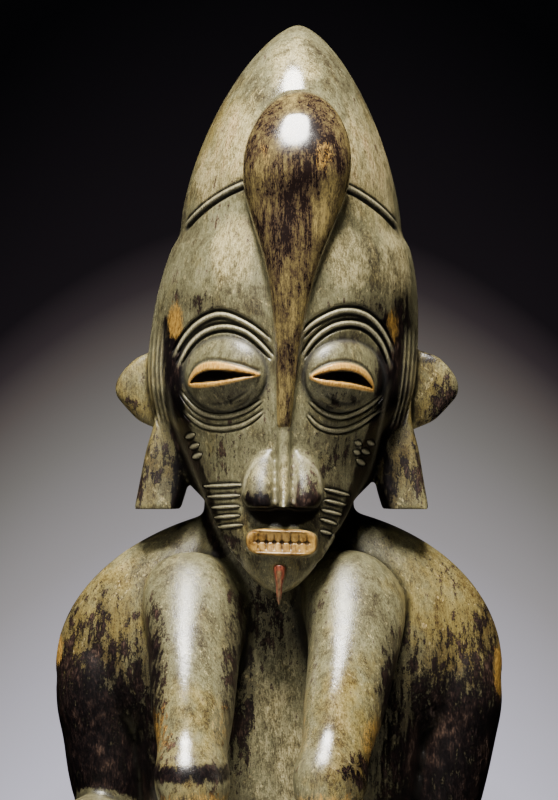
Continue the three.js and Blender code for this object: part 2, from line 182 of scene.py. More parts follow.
def egg(name, middle, half):
    def place(angle, s):
        turn = math.pi * s
        ring = np.sin(turn)
        x = middle[0] + half[0] * ring * np.cos(angle)
        y = middle[1] + half[1] * ring * np.sin(angle)
        return stack(x, y, middle[2] + half[2] * np.cos(turn))

    return skin(name, 40, 24, place)


# The head leans a little to one side as it rises.
lean_run = run(0, 0, 0.2, 0.7, 1.3, 2.8, 4.4, 4.6, 5.2, 6, 7.2)


def lean(z):
    return lean_run((z - CHIN) / (TIP - CHIN))


def up_hood(z):
    return np.clip((z - HOOD_FOOT) / (TIP - HOOD_FOOT), 0, 1)


def hood_width(z):
    return HOOD_WIDTH * (1 - up_hood(z) ** 1.5) ** 0.65


def head_width(z):
    reach = np.where(z > BROW, 76.0, 64.0)
    return HEAD_WIDTH * np.maximum(1 - np.abs((z - BROW + 4) / reach) ** 2.2, 0) ** (1 / 2.2)


def side_width(z):
    return mix(head_width(z), hood_width(z), ease((z - HOOD_FOOT + 8) / 10))


def face_width(z):
    up = np.clip((z - CHIN) / (BROW - CHIN), 0, 1)
    return mix(HEAD_WIDTH * 0.985 * up**0.57, side_width(z), ease((z - JAW_TOP) / 22))


def face_depth(z):
    above = np.maximum(z - 535, 0)
    dish = 4.5 * bell(z, 478, 24)
    face = FACE_DEPTH - 0.0054 * above**2 - 0.014 * np.maximum(445 - z, 0) ** 2 - dish
    hood = HOOD_DEPTH * (1 - up_hood(z) ** 2.2) ** 0.6
    return mix(face, hood, ease((z - HOOD_FOOT) / 20))


def edge_depth(z):
    rise = ease((z - CHIN) / (BROW + 14 - CHIN)) ** 0.62
    return mix(face_depth(CHIN) - 4, 0, rise)


def front(x, z):
    """The surface of the face before its features, hollowed around each eye."""
    z = np.asarray(z, dtype=float)
    across = np.minimum(np.abs(x - lean(z)) / np.maximum(face_width(z), 0.1), 1)
    bulge = (1 - across**2.3) ** mix(0.72, 0.56, ease((z - BROW) / 40))
    plain = mix(edge_depth(z), face_depth(z), bulge)
    off = np.hypot(np.abs(x - lean(EYE)) - EYE_APART, z - EYE) / 19
    return -plain + 2.6 * np.exp(-(off**4)) - 6 * up_hood(z)


def head():
    def place(angle, s):
        low = mix(CHIN, 578, s / 0.7)
        z = np.where(s < 0.7, low, mix(578, TIP, 1 - np.clip((1 - s) / 0.3, 0, 1) ** 1.5))
        across = np.cos(angle)
        x = lean(z) + face_width(z) * across
        skull = ease((z - 447) / 38)
        wide = mix(face_width(z), side_width(z), ease((z - 452) / 26))
        back = HEAD_BACK * side_width(z) / HEAD_WIDTH + 3 - 6 * up_hood(z)
        behind = mix(9 - face_depth(z), back * np.abs(np.sin(angle)) ** 0.9, skull)
        ahead = np.sin(angle) <= 1e-6
        return stack(np.where(ahead, x, lean(z) + wide * across), np.where(ahead, front(x, z), behind), z)

    return skin("head", 180, 200, place)


lock_width = run(2.7, 3.5, 4.3, 5.7, 7.7, 10.9, 15.2, 19.0, 19.8, 17.4, 16)
lock_rise = run(3.6, 3.8, 4.2, 5, 6.4, 8.6, 11.6, 14.2, 14.2, 10.8, 6.4)


def lock_middle(s):
    return mix(1.8, 8.0, s)


def lock_round(s):
    """How far the lock's round upper end has closed."""
    return np.sqrt(np.maximum(1 - (np.maximum(s - 0.85, 0) / 0.15) ** 2, 0))


def lock():
    """The drop-shaped lock that stands proud of the hood and runs down to the bridge of the nose."""

    def place(angle, s):
        close = 0.15 * np.sin((np.maximum(s, 0.75) - 0.75) * 2 * math.pi)
        s = np.where(s < 0.75, s * 0.85 / 0.75, 0.85 + close)
        z = mix(LOCK_FOOT, LOCK_TOP, s)
        middle = lock_middle(s)
        up = np.abs(np.sin(angle))
        blunt = np.sqrt(np.maximum(1 - (np.maximum(s - 0.92, 0) / 0.08) ** 2, 0))
        rise = np.where(np.sin(angle) <= 1e-6, lock_rise(s) * blunt**0.8 * up**0.8, -8 * up)
        return stack(middle + lock_width(s) * lock_round(s) * np.cos(angle), front(middle, z) - rise, z)

    return skin("lock", 72, 110, place)


def nose():
    def ridge(angle, s):
        z = mix(NOSE_FOOT + 0.4, LOCK_FOOT + 1, s)
        up = np.abs(np.sin(angle))
        rise = np.where(np.sin(angle) <= 1e-6, mix(12.5, 2.4, s**0.8) * up**0.45, -3.0)
        x = mix(1.6, 2.0, s) + mix(2.2, 2.3, s) * np.cos(angle)
        return stack(x, front(0, z) - rise, z)

    outer = run(12.8, 14.7, 14.9, 14.4, 13.2, 10.9, 5.2)
    proud = run(8.0, 8.8, 8.2, 6.8, 5.0, 3.2, 1.0)

    def wing(side):
        def place(angle, s):
            z = mix(NOSE_FOOT, 485.5, s)
            inner = 3.9 + 0.3 * side
            x = 1.3 + side * (0.5 * (outer(s) + inner) + 0.5 * (outer(s) - inner) * np.cos(angle))
            up = np.abs(np.sin(angle))
            out = np.where(np.sin(angle) <= 1e-6, proud(s) * up**0.4, -3.0)
            return stack(x, front(x, z) - out, z)

        return place

    return [skin("nose_ridge", 32, 40, ridge)] + [skin("nose_wing", 40, 30, wing(side)) for side in (-1, 1)]


# Half sizes of the mouth, its middle and how far it stands out.
LIP_WIDE = 13.3
LIP_TALL = 4.9
LIP_MIDDLE = 1.1
LIP_RISE = 6.0


def mouth():
    def place(angle, s):
        inset = np.where(s > 0.85, 0.7 * (s - 0.85) / 0.15, 0)
        x = LIP_MIDDLE + (LIP_WIDE - inset) * power(np.cos(angle), 0.5)
        z = MOUTH + (LIP_TALL - inset) * power(np.sin(angle), 0.6) - 0.03 * x
        return stack(x, front(0, MOUTH) - mix(-4, LIP_RISE, s) + 0.012 * x * x, z)

    return skin("mouth", 80, 16, place)


def peg():
    path = [
        (0.2, front(0, 443.0) - 1.4, 443.6),
        (0.1, front(0, 437.0) - 2.4, 436.6),
        (-0.1, front(0, 434.0) - 2.8, 428.4),
    ]
    return bar("peg", path, 24, 24, lambda s: mix(2.6, 0.6, s), lambda s: mix(2.2, 0.6, s), (0, -1, 0))


ear_reach = run(48, 55, 58.5, 61.3, 63.8, 64.6, 64, 62.2, 59.5, 55.5, 46)


def ear(side):
    """A flat ear, round above and drawn to a blunt corner below."""

    def place(angle, s):
        z = mix(492.8, 523.6, s)
        thick = 3.6 * np.sin(math.pi * np.clip(s, 0.06, 0.94)) ** 0.4
        x = mix(36, ear_reach(s), 0.5 + 0.5 * power(np.cos(angle), 0.6))
        return stack(2.0 + lean(z) + side * x, 4 + thick * power(np.sin(angle), 0.6), z)

    return skin("ear", 48, 40, place)


def side_lock(side):
    """The lock of hair that hangs beside the jaw, flared and cut square."""
    path = run((44.5, -2, 507), (43.2, -4.5, 496), (43, -6, 485), (43.6, -6.5, 474), (46, -7, 463.2))
    breadth = run(2.6, 4.6, 7.6, 9.0, 8.6)

    def place(angle, s):
        spot = path(s)
        across = power(np.cos(angle), 0.3)
        fore = power(np.sin(angle), 0.3)
        wide = breadth(s) - 2.2 * s * (across < 0) * (fore < 0) * np.abs(across * fore)
        x = side * (spot[:, 0] + 0.4 + wide * across) + lean(spot[:, 2]) + 0.9
        return stack(x, spot[:, 1] + mix(6.0, 10.5, s) * fore, spot[:, 2])

    return skin("side_lock", 64, 24, place)


trunk_width = run(50, 50, 45, 40, 36.5, 34.5, 35, 42, 50, 54, 56, 50, 30, 28.5)
trunk_front = run(34, 42, 46, 50, 52, 48, 42, 37, 35, 35, 34, 31, 26, 27)
trunk_back = run(48, 50, 44, 36, 29, 26, 26, 28, 31, 34, 36, 33, 29, 28)


def trunk():
    def place(angle, s):
        deep = np.where(np.sin(angle) > 0, trunk_back(s), trunk_front(s))
        x = trunk_width(s) * power(np.cos(angle), 0.86)
        return stack(x, 2 + deep * power(np.sin(angle), 0.92), mix(SEAT - 6, 482, s))

    return skin("trunk", 96, 120, place)


def yoke():
    def place(angle, s):
        turn = mix(-0.5, 1, s) * (math.pi / 2)
        tall = np.where(turn > 0, SHOULDER_TOP - SHOULDER, 40)
        x = SHOULDER_WIDTH * np.cos(turn) ** 1.03 * np.cos(angle)
        flat = np.sqrt(np.maximum(1 - 0.45 * (x / SHOULDER_WIDTH) ** 2, 0))
        deep = SHOULDER_DEPTH * np.cos(turn) ** 0.9 * power(np.sin(angle), 0.9) * flat
        return stack(x + 2.2 * np.maximum(np.sin(turn), 0) ** 2, 5 + deep, SHOULDER + tall * np.sin(turn))

    return skin("yoke", 96, 60, place)


def forearm_path(elbow, bend, wrist, palm):
    return [np.add(elbow, (0, 3, 2)), bend, wrist, palm]


def arm(side, *spots):
    """An arm and the hand at its end; the fingers point ahead and the back of the hand faces out."""
    elbow, bend, wrist, palm, ahead, out = (np.array(spot, float) for spot in spots)
    upper = [
        (side * 60, 11, SHOULDER + 16),
        (side * 66.8, 6, SHOULDER - 8),
        (side * 65.5, 5, SHOULDER - 30),
        elbow - (0, 0, 8),
    ]
    thick = run(12, 17.2, 16.9, 15.6, 14.5, 9)
    slim = run(11, 14, 12.5, 10.5, 9)
    made = [
        bar("upper_arm", upper, 40, 50, thick, lambda s: 1.12 * thick(s), (0, -1, 0)),
        bar("forearm", forearm_path(elbow, bend, wrist, palm), 36, 60, slim, slim, (0.2, -0.2, 1)),
        egg("palm", palm, (12, 8, 12)),
    ]
    across = np.cross(ahead, out)
    across /= np.linalg.norm(across)
    for i in (-1.5, -0.5, 0.5, 1.5):
        knuckle = palm + 5.4 * i * across + 4 * ahead
        end = knuckle + (20 - 1.6 * i * i) * ahead - 1.5 * out
        path = [knuckle, knuckle + 11 * ahead + 0.8 * out, end]
        made.append(bar("finger", path, 20, 20, lambda s: 2.8 - 0.4 * s, lambda s: 3.6 - 0.4 * s, out))
    root = palm - 8.4 * across
    path = [root, root + 7 * ahead - 3.5 * across, root + 13 * ahead - 5 * across]
    made.append(bar("thumb", path, 20, 20, lambda s: 3.2 - 0.5 * s, lambda s: 3.6 - 0.5 * s, out))
    return made


# Elbow, bend, wrist and palm, and the ways the fingers and the back of the hand point.
BELLY_ARM = (
    (-60.5, 5, 341), (-70.5, -22, 339.5), (-48, -40, 311), (-22, -38, 284),
    (0.7, -0.35, -0.62), (-0.3, -0.93, 0.2),
)
KNEE_ARM = (
    (48.5, 6, 308), (59, -28, 262), (50, -62, 210), (41, -79, 189),
    (-0.1, -0.84, -0.53), (-0.05, -0.53, 0.85),
)


breast_size = run(0.3, 0.84, 1, 1, 0.94, 0.87, 0.82, 0.76, 0.66, 0.7, 0.4)


def breast(top, middle, foot, wide):
    """A long breast that hangs forward, its front a little to one side."""
    across, deep = (lambda s: wide * breast_size(s)), (lambda s: 1.05 * wide * breast_size(s))
    made = bar("breast", [top, middle, foot], 56, 90, across, deep, (0, -1, 0))
    co = points(made)
    line = np.interp(co[:, 2], (foot[2], middle[2], top[2]), (foot[1], middle[1], top[1]))
    co[:, 0] -= 0.16 * np.clip(line - co[:, 1], 0, 22)
    move(made, co)
    return made


def even(value):
    """The same breadth all along a bar."""
    return lambda s: value + 0 * s


def leg(side):
    knee = np.array((side * 38, -78, SEAT + 25.0))
    ankle = (side * 36, -74, BASE + 12)
    thigh = [(side * 26, 16, SEAT + 21), (side * 33, -34, SEAT + 27), knee, knee + (0, -15, -3)]
    shin = [knee + (0, 0, 6), (side * 38, -79, SEAT - 30), ankle]
    thickness = run(25, 23.5, 21, 18.5, 8)
    calf = run(15, 18.5, 18, 14.5, 12, 12.5)

    def sole(angle, s):
        wide = run(7, 11, 11.5, 12.5, 12.8, 10)(s)
        tall = run(10, 19, 21, 16, 11.5, 7)(s)
        up = BASE - 1 + np.maximum(tall * np.sin(angle), 0)
        return stack(side * 36 + wide * np.cos(angle), mix(-56, -108, s), up)

    made = [
        bar("thigh", thigh, 48, 60, thickness, lambda s: 0.92 * thickness(s), (0, 0, 1)),
        bar("shin", shin, 44, 60, calf, lambda s: 1.08 * calf(s), (0, -1, 0)),
        skin("foot", 40, 40, sole),
    ]
    for i in range(5):
        x = side * (27 + 4.6 * i)
        path = [(x * 0.99, -98, BASE + 6), (x * 0.995, -108, BASE + 5), (x, -118 + 0.5 * i * i, BASE + 3)]
        wide = 3.5 if i == 0 else 2.6
        made.append(bar("toe", path, 20, 20, even(wide), even(wide + 1.3), (0, 0, 1)))
    return made


def stool():
    def seat(angle, s):
        rim = np.where(s < 0.5, mix(0.9, 1, s * 2), mix(1, 0.95, s * 2 - 1))
        x = 58 * rim * power(np.cos(angle), 0.6)
        return stack(x, 14 + 46 * rim * power(np.sin(angle), 0.6), mix(SEAT - 20, SEAT, s))

    made = [skin("seat", 96, 12, seat)]
    for side in (-1, 1):
        for y in (-20, 46):
            path = [(side * 37, mix(14, y, 0.8), SEAT - 14), (side * 40, mix(14, y, 0.9), 70)]
            path.append((side * 43, y, BASE - 2))
            wide, deep = (lambda s: mix(15, 13, s)), (lambda s: mix(14, 12.5, s))
            made.append(bar("stool_leg", path, 32, 30, wide, deep, (0, -1, 0)))
    return made


def base():
    def place(angle, s):
        rim = np.where(s > 0.9, 0.97, 1)
        x = 80 * rim * power(np.cos(angle), 0.5)
        return stack(x, -24 + 100 * rim * power(np.sin(angle), 0.5), mix(0, BASE, s))

    return skin("base", 128, 12, place)


def pick(*pieces):
    """Selects these pieces alone, the first as the active one."""
    bpy.ops.object.select_all(action="DESELECT")
    for piece in pieces:
        piece.select_set(True)
    bpy.context.view_layer.objects.active = pieces[0]


def modify(piece, kind, **settings):
    """Adds a modifier to the active piece and applies it."""
    modifier = piece.modifiers.new(kind.lower(), kind)
    for key, value in settings.items():
        setattr(modifier, key, value)
    bpy.ops.object.modifier_apply(modifier=modifier.name)


def fused(name, pieces, voxel, rounds):
    """The pieces joined and made one even skin, and smoothed a little."""
    pick(*pieces)
    bpy.ops.object.join()
    piece = bpy.context.object
    piece.name = name
    modify(piece, "REMESH", mode="VOXEL", voxel_size=voxel * MM)
    modify(piece, "SMOOTH", factor=0.5, iterations=rounds)
    return piece


def carve_body():
    pieces = [trunk(), yoke()]
    pieces.append(breast((-29, -8, 440), (-31, -40, 410), (-31.2, -80, 350), 19.4))
    pieces.append(breast((27, -8, 441), (27.5, -40, 411), (15.7, -80, 351), 19))
    pieces += arm(-1, *BELLY_ARM) + arm(1, *KNEE_ARM)
    pieces += leg(-1) + leg(1) + stool()
    pieces.append(base())
    pieces.append(egg("navel", (0, -50, 232), (6, 7, 6)))
    return fused("carving", pieces, BODY_VOXEL, 7)


def carve_head():
    pieces = [head(), lock()] + nose() + [mouth(), peg()]
    for side in (-1, 1):
        pieces += [ear(side), side_lock(side)]
    return fused("carved_head", pieces, HEAD_VOXEL, 2)


# Lines of the face, in millimetres across and up, each from one end to the other.
BROWS = (
    (
        (-39.1, 519.9), (-35, 527.2), (-29.9, 532.3), (-21.2, 535.6),
        (-15.7, 533.8), (-10.6, 531.2), (-2.6, 525),
    ),
    (
        (-37.6, 515.9), (-32.1, 525.4), (-28.1, 528.7), (-20.3, 530.9),
        (-12.4, 529), (-7.3, 525), (-1.5, 518.5),
    ),
    ((7.4, 526), (10.6, 530.5), (15.7, 533.8), (24, 536.9), (31.8, 535.6), (38.7, 529), (42.3, 521.4)),
    ((8, 518.6), (11.3, 524.3), (15.7, 528.7), (24, 532.2), (31.8, 531.2), (38, 525), (41.4, 515.5)),
)
POUCHES = (
    ((-36.5, 507.1), (-33.2, 502.8), (-29.9, 499.8), (-22, 497.7), (-12.4, 499.8), (-5.5, 504.2)),
    ((-35.4, 500.2), (-32.1, 496.9), (-28.1, 494.4), (-20.3, 493.3), (-12.4, 495.1), (-5.1, 500.2)),
    ((10.6, 503.9), (15.3, 499.8), (21.9, 497.6), (29.9, 499.8), (35, 503.1), (38.3, 506)),
    ((9.9, 499.1), (14.2, 494.4), (21.9, 492.5), (29.9, 495.1), (34.3, 498), (37.6, 500.2)),
)
JAW_EDGES = (
    (
        (-42, 511.2), (-38.3, 492.9), (-32.9, 479.8), (-28.8, 470.3),
        (-24.5, 459), (-20.4, 450.2), (-15, 440.8),
    ),
    ((41.6, 512.6), (39.1, 502), (32.9, 475.8), (29.2, 469.2), (25.9, 462.6), (21.5, 455.7), (15.3, 444)),
)
EYES = (
    {
        "middle": (-19.9, 513.3),
        "half": (15.4, 13.8),
        "lid": (
            (-33.8, 509.8), (-32.4, 513.2), (-30.5, 515.8), (-27.9, 517.3),
            (-24.6, 517.9), (-19.4, 517.3), (-13.5, 515.9), (-6.6, 513.4),
        ),
        "slit": (
            (-32.9, 510.3), (-30.5, 513), (-27.9, 514.4), (-24, 514.9),
            (-18.8, 514.7), (-12.9, 513.9), (-8.4, 513),
        ),
        "under": ((-32.9, 510), (-29.9, 510.2), (-25.3, 510.5), (-20.1, 511.1), (-14.9, 512), (-8.4, 512.8)),
        "rim": (
            (-33.8, 509.4), (-32, 508.6), (-29.9, 508.4), (-25.3, 508.8),
            (-20.1, 509.6), (-14.9, 510.8), (-6.6, 512.8),
        ),
        "crease": ((-28.1, 501.4), (-22, 501), (-16.5, 502.6), (-9.3, 507)),
    },
    {
        "middle": (24.1, 512.5),
        "half": (15, 13.5),
        "lid": (
            (11, 512.6), (14.5, 515), (18.4, 516.7), (23, 517.4),
            (27.5, 516.9), (31.4, 515), (34, 511.8), (35.4, 507.9),
        ),
        "slit": (
            (12.3, 512.5), (16.4, 513.9), (21.6, 514.7), (26.2, 514.5),
            (30.1, 513.1), (32.7, 510.8), (34.6, 508.3),
        ),
        "under": ((12.3, 512.2), (16.4, 511.3), (21.6, 510.7), (26.2, 510.1), (30.8, 509.1), (34.6, 508.1)),
        "rim": ((11, 511.6), (16.4, 509.5), (21.6, 508.8), (26.9, 508.1), (31.4, 507.3), (35.4, 506.9)),
        "crease": ((14.5, 506), (19.5, 502.4), (25, 501), (31, 502.5)),
    },
)
CHEEK_CUTS = (
    ((-27.7, 472), (-13.9, 472.8)),
    ((-26.3, 468.2), (-14.6, 468.9)),
    ((-24.8, 464.2), (-14.6, 465)),
    ((-23.7, 460.6), (-14.6, 461.6)),
    ((-23, 457), (-13.5, 458.2)),
    ((16.8, 471.2), (25.9, 468.8)),
    ((16.8, 467.2), (24.5, 465.2)),
    ((15.7, 463.6), (23, 461.7)),
    ((15.3, 460.3), (21.2, 458.2)),
    ((15.3, 455.9), (19.3, 454.7)),
)
TEMPLE_CUTS = (
    ((-34.4, 490), (-31.4, 491.2)),
    ((-32.8, 486.2), (-29.8, 487.4)),
    ((-31.8, 482.6), (-28.8, 483.8)),
    ((32.8, 488.6), (35.2, 487.4)),
    ((30.8, 485.4), (33.4, 484.2)),
    ((28.8, 481.8), (31.6, 480.2)),
    ((28.2, 488.4), (30.2, 487.6)),
    ((27.8, 485), (29.8, 484.2)),
)
# The pale edges of the two wings of the nose.
NOSE_RIMS = (
    ((-13.5, 469.8), (-12, 475.9), (-8.5, 481.5), (-4.5, 484.2), (-2.4, 481.5), (-1.9, 474.9), (-1.3, 466.5)),
    ((5.4, 466.5), (6.1, 474.9), (5.7, 481), (7.2, 483.4), (11.8, 480.5), (15.2, 474.9), (16.2, 468.6)),
)
# Where the gaps between the teeth are.
TOOTH_GAPS = (-7.6, -4.6, -1.7, 1.1, 4.2, 7.3, 10.2)


def drawn(path, count):
    """Evenly spaced points on the smooth line through a few points of the face."""
    knots = np.array(path, dtype=float)
    length = np.concatenate(([0], np.cumsum(np.hypot(*np.diff(knots, axis=0).T))))
    slope = np.gradient(knots, length, axis=0)
    at = np.linspace(0, length[-1], count + 1)
    i = np.clip(np.searchsorted(length, at, side="right") - 1, 0, len(knots) - 2)
    gap = (length[i + 1] - length[i])[:, None]
    t = (at - length[i])[:, None] / gap
    a = (2 * t**3 - 3 * t**2 + 1) * knots[i] + (3 * t**2 - 2 * t**3) * knots[i + 1]
    line = a + gap * ((t**3 - 2 * t**2 + t) * slope[i] + (t**3 - t**2) * slope[i + 1])
    for _ in range(3):
        line[1:-1] = 0.25 * line[:-2] + 0.5 * line[1:-1] + 0.25 * line[2:]
    return line


def near(x, z, path, straight=False):
    """How far points lie from a line of the face, and how far along it from 0 to 1."""
    count = 1 if straight else 28
    knots = np.array(path, dtype=float) if straight else drawn(path, count)
    best = np.full(x.shape, 1e6)
    along = np.zeros(x.shape)
    for i in range(count):
        (ax, az), (bx, bz) = knots[i], knots[i + 1]
        long = (bx - ax) ** 2 + (bz - az) ** 2
        t = np.clip(((x - ax) * (bx - ax) + (z - az) * (bz - az)) / long, 0, 1)
        off = np.hypot(x - ax - t * (bx - ax), z - az - t * (bz - az))
        closer = off < best
        best[closer] = off[closer]
        along[closer] = (i + t[closer]) / count
    return best, along


def level(x, path):
    """The height of a line of the face at x."""
    knots = drawn(path, 60)
    order = np.argsort(knots[:, 0])
    return np.interp(x, knots[order, 0], knots[order, 1])


def ends_inward(path):
    """Whether a line of the face ends nearer to the nose than it starts."""
    return abs(path[-1][0]) < abs(path[0][0])


# How high or deep the forms of the face are carved.
EYE_BULGE = 6.2
LID_PROUD = 1.2
SLIT_DEEP = 2.2
BROW_DEEP = 1.7
NOSE_SHADE_DEEP = 2.4


class Relief:
    """The height of the fine carving, and how much of each point is groove (dirt with painted shade in the
    cuts), crest, lid or slit (the eye slits, and the painted shadow under the nose).
    """

    def __init__(self, count):
        self.raised = np.zeros(count)
        self.marks = {name: np.zeros(count) for name in ("groove_dirt_and_shade", "crest", "lid", "slit")}

    def mark(self, name, value):
        self.marks[name] = np.maximum(self.marks[name], value)


def carve_eye(relief, x, z, eye):
    """The bulging eye, its two lids, the slit between them and the crease below."""
    (cx, cz), (wide, tall) = eye["middle"], eye["half"]
    off = np.hypot((x - cx) / wide, (z - cz) / tall)
    inside = ease((1.02 - off) / 0.1)
    relief.raised += EYE_BULGE * np.maximum(1 - off**2.2, 0) ** 0.75
    relief.mark("groove_dirt_and_shade", 0.8 * bell(off, 1.0, 0.07))

    first, last = eye["lid"][0][0], eye["lid"][-1][0]
    within = ease((x - first) / 0.8) * ease((last - x) / 0.8)
    upper, lower = level(x, eye["lid"]), level(x, eye["rim"])
    band = ease((upper - z) / 0.45 + 0.5) * ease((z - lower) / 0.45 + 0.5) * within
    open_from, open_to = eye["slit"][0][0], eye["slit"][-1][0]
    gap = ease((x - open_from) / 0.5) * ease((open_to - x) / 0.5)
    slit_top, slit_foot = level(x, eye["slit"]), level(x, eye["under"])
    gap = gap * ease((slit_top - z) / 0.4 + 0.5) * ease((z - slit_foot) / 0.4 + 0.5)
    relief.raised += LID_PROUD * band - SLIT_DEEP * gap
    relief.mark("lid", band * (1 - gap))
    relief.mark("slit", gap)

    outline = bell(z - upper, 0.9, 0.6) * within
    relief.raised -= 0.5 * outline
    relief.mark("groove_dirt_and_shade", 0.7 * outline)
    off, along = near(x, z, eye["crease"])
    taper = ease(5 * along) * ease(5 * (1 - along))
    beside = bell(off, 1.5, 0.7)
    relief.raised += taper * inside * (0.35 * flat_bell(off, 0.7) - 0.5 * beside)
    relief.mark("groove_dirt_and_shade", taper * 0.6 * beside)


def carve_arcs(relief, x, z):
    """The arcs over and under the eyes, each a thin ridge with a trench at either side."""
    trench = np.zeros(x.shape)
    ridges = np.zeros(x.shape)
    for group, reach, pale, shade in ((BROWS, 2.6, 1.0, 0.95), (POUCHES, 1.9, 0.45, 0.55)):
        for path in group:
            off, along = near(x, z, path)
            taper = ease(9 * along + 0.15) * ease(9 * (1 - along) + 0.15)
            off = off / (0.45 + 0.55 * np.sin(math.pi * np.clip(along, 0.02, 0.98)) ** 0.5)
            inner = along if ends_inward(path) else 1 - along
            ridge = taper * flat_bell(off, 0.85)
            dug = taper * ease((reach - off) / 0.8)
            trench = np.maximum(trench, dug)
            ridges = np.maximum(ridges, ridge)
            relief.mark("crest", pale * ridge)
            # The trenches are painted dark: dirt, with painted shade.
            relief.mark("groove_dirt_and_shade", shade * mix(1.0, 0.3, ease((inner - 0.4) / 0.6)) * dug)
    relief.raised += -BROW_DEEP * trench * (1 - ridges) + 0.25 * ridges
    relief.marks["groove_dirt_and_shade"] *= 1 - ridges


def carve_cuts(relief, x, z):
    """The bars on the cheeks and the lenses on the temples."""
    for group, thick, tall in ((CHEEK_CUTS, 0.55, 0.9), (TEMPLE_CUTS, 0.9, 0.7)):
        for path in group:
            off, along = near(x, z, path, straight=True)
            off = off / (0.35 + 0.65 * np.sqrt(1 - (2 * along - 1) ** 2 * 0.98))
            bar_of_cut = flat_bell(off, thick)
            around = ease((thick + 1.2 - off) / 0.8) * (1 - bar_of_cut)
            relief.raised += tall * bar_of_cut - 0.7 * around
            relief.mark("groove_dirt_and_shade", 0.95 * around)
            relief.mark("crest", 0.65 * bar_of_cut)


def carve_nose_shadow_and_jaw(relief, x, z):
    """The dip under the nose, painted near black as the nose's shadow, and the sharp edges of the jaw."""
    off = np.hypot((x - 1.6) / 14.2, (z - 465.2) / 8.2)
    below = z < 466.5
    relief.raised -= NOSE_SHADE_DEEP * ease((1.0 - off) / 0.5) * below
    # Painted shadow: the crescent under the nose is marked as slit, near black, for the nose's shadow.
    relief.mark("slit", 0.96 * ease((1.02 - off) / 0.12) * below)
    for path in JAW_EDGES:
        off, along = near(x, z, path)
        edge = ease(6 * along) * ease(8 * (1 - along)) * bell(off, 0, 0.8)
        relief.raised += 0.5 * edge
        relief.mark("crest", 0.2 * edge)


def face_relief(x, z):
    relief = Relief(len(x))
    for eye in EYES:
        carve_eye(relief, x, z, eye)
    carve_arcs(relief, x, z)
    carve_cuts(relief, x, z)
    carve_nose_shadow_and_jaw(relief, x, z)
    return relief


def cord_off(x, y, z):
    """How far above the cord round the foot of the hood a point lies, and how far across the head."""
    across = np.clip((x - lean(z)) / HOOD_WIDTH, -1, 1)
    arch = 1 - across**2
    line = np.where(y < 4, 566 + 20.5 * arch**0.8, 566 - 12 * arch**0.8)
    slope = np.where(y < 4, 0.6, 0.35) * np.abs(across)
    return (z - line) / np.hypot(1, slope), across


def cord_relief(x, y, z):
    """The cord round the foot of the hood and the fine plaits beside the face."""
    off, across = cord_off(x, y, z)
    fade = ease((0.97 - np.abs(across)) / 0.06)
    cord = fade * flat_bell(off, 0.6)
    above = fade * bell(off, 1.2, 0.45)
    below = fade * bell(off, -1.6, 0.85)
    raised = 0.3 * cord - 0.5 * above - 1.2 * below
    # The grooves are painted near black: dirt, with painted shade.
    groove_dirt_and_shade = np.minimum(np.maximum(1.2 * above, 1.8 * below), 1)

    in_from = head_width(z) - np.abs(x - lean(z))
    strip = ease((in_from + 0.5) / 0.8) * ease((6.3 - in_from) / 0.8)
    strip = strip * ease((z - 492) / 5) * ease((534 - z) / 12) * ease((6 - y) / 4)
    wave = np.cos(2 * math.pi * in_from / 1.65)
    raised += 0.25 * strip * wave
    groove_dirt_and_shade = np.maximum(groove_dirt_and_shade, 0.6 * strip * np.clip(-wave, 0, 1))
    crest = np.maximum(cord, 0.35 * strip * np.clip(wave, 0, 1))
    return raised, groove_dirt_and_shade, crest


def mouth_relief(x, z):
    """The rim and the two rows of teeth on the mouth, and the dark right corner, which is painted shadow."""
    z = z + 0.03 * x
    side = LIP_WIDE - 1.2 - np.abs(x - LIP_MIDDLE)
    deep = LIP_TALL - 1.1 - np.abs(z - MOUTH)
    field = ease(side / 0.5 + 0.5) * ease(deep / 0.5 + 0.5)
    up = np.abs(z - MOUTH)
    across = np.min([np.abs(x - gap) for gap in TOOTH_GAPS], axis=0)
    gaps = ease((1.25 - across - 0.9 * up) / 0.5)
    gaps = np.maximum(gaps, 0.55 * ease((0.5 - across) / 0.4) * ease((3.4 - up) / 1.2))
    gaps = np.maximum(gaps, 0.35 * ease((0.55 - up) / 0.4) * (np.abs(x - LIP_MIDDLE) < 10.5))
    # Painted shadow: the right corner of the mouth is cut and painted dark.
    corner = ease((x - 13.0) / 0.5) * ease((LIP_TALL - 0.9 - up) / 0.5)
    return -0.4 * field - 0.6 * field * gaps - 0.8 * corner, np.maximum(field * gaps, corner)


def on_face(x, y, z):
    """How far a point belongs to the plain face, not to what stands proud of it."""
    proud = front(x, z) - y
    return ease((1.6 - proud) / 0.8 + 0.5) * ease((proud + 4) / 2 + 0.5) * (y < -1)


def on_mouth(x, y, z):
    out = front(0, MOUTH) - y
    inside = (np.abs(z - MOUTH) < LIP_TALL + 0.6) * (np.abs(x - LIP_MIDDLE) < LIP_WIDE + 0.5)
    return ease((out - 3.0) / 1.5) * inside


def on_hood(x, z):
    """Whether a point is on the head above the jaw, not on an ear or a side lock."""
    return (z > JAW_TOP) * (np.abs(x - lean(z)) < side_width(z) + 2)


def refine(piece, choose, rounds):
    """Cuts the chosen faces finer and smooths them."""
    pick(piece)
    keep = choose(*points(piece).T)
    piece.data.vertices.foreach_set("select", keep)
    corners = np.empty(len(piece.data.loops), dtype=np.int64)
    piece.data.loops.foreach_get("vertex_index", corners)
    starts = np.empty(len(piece.data.polygons), dtype=np.int64)
    piece.data.polygons.foreach_get("loop_start", starts)
    whole = np.logical_and.reduceat(keep[corners], starts)
    piece.data.polygons.foreach_set("select", whole)
    piece.data.edges.foreach_set("select", keep[edge_ends(piece)].all(axis=1))
    bpy.ops.object.mode_set(mode="EDIT")
    bpy.ops.mesh.select_mode(type="FACE")
    bpy.ops.mesh.subdivide(number_cuts=1)
    bpy.ops.mesh.vertices_smooth(factor=0.5, repeat=rounds)
    bpy.ops.object.mode_set(mode="OBJECT")


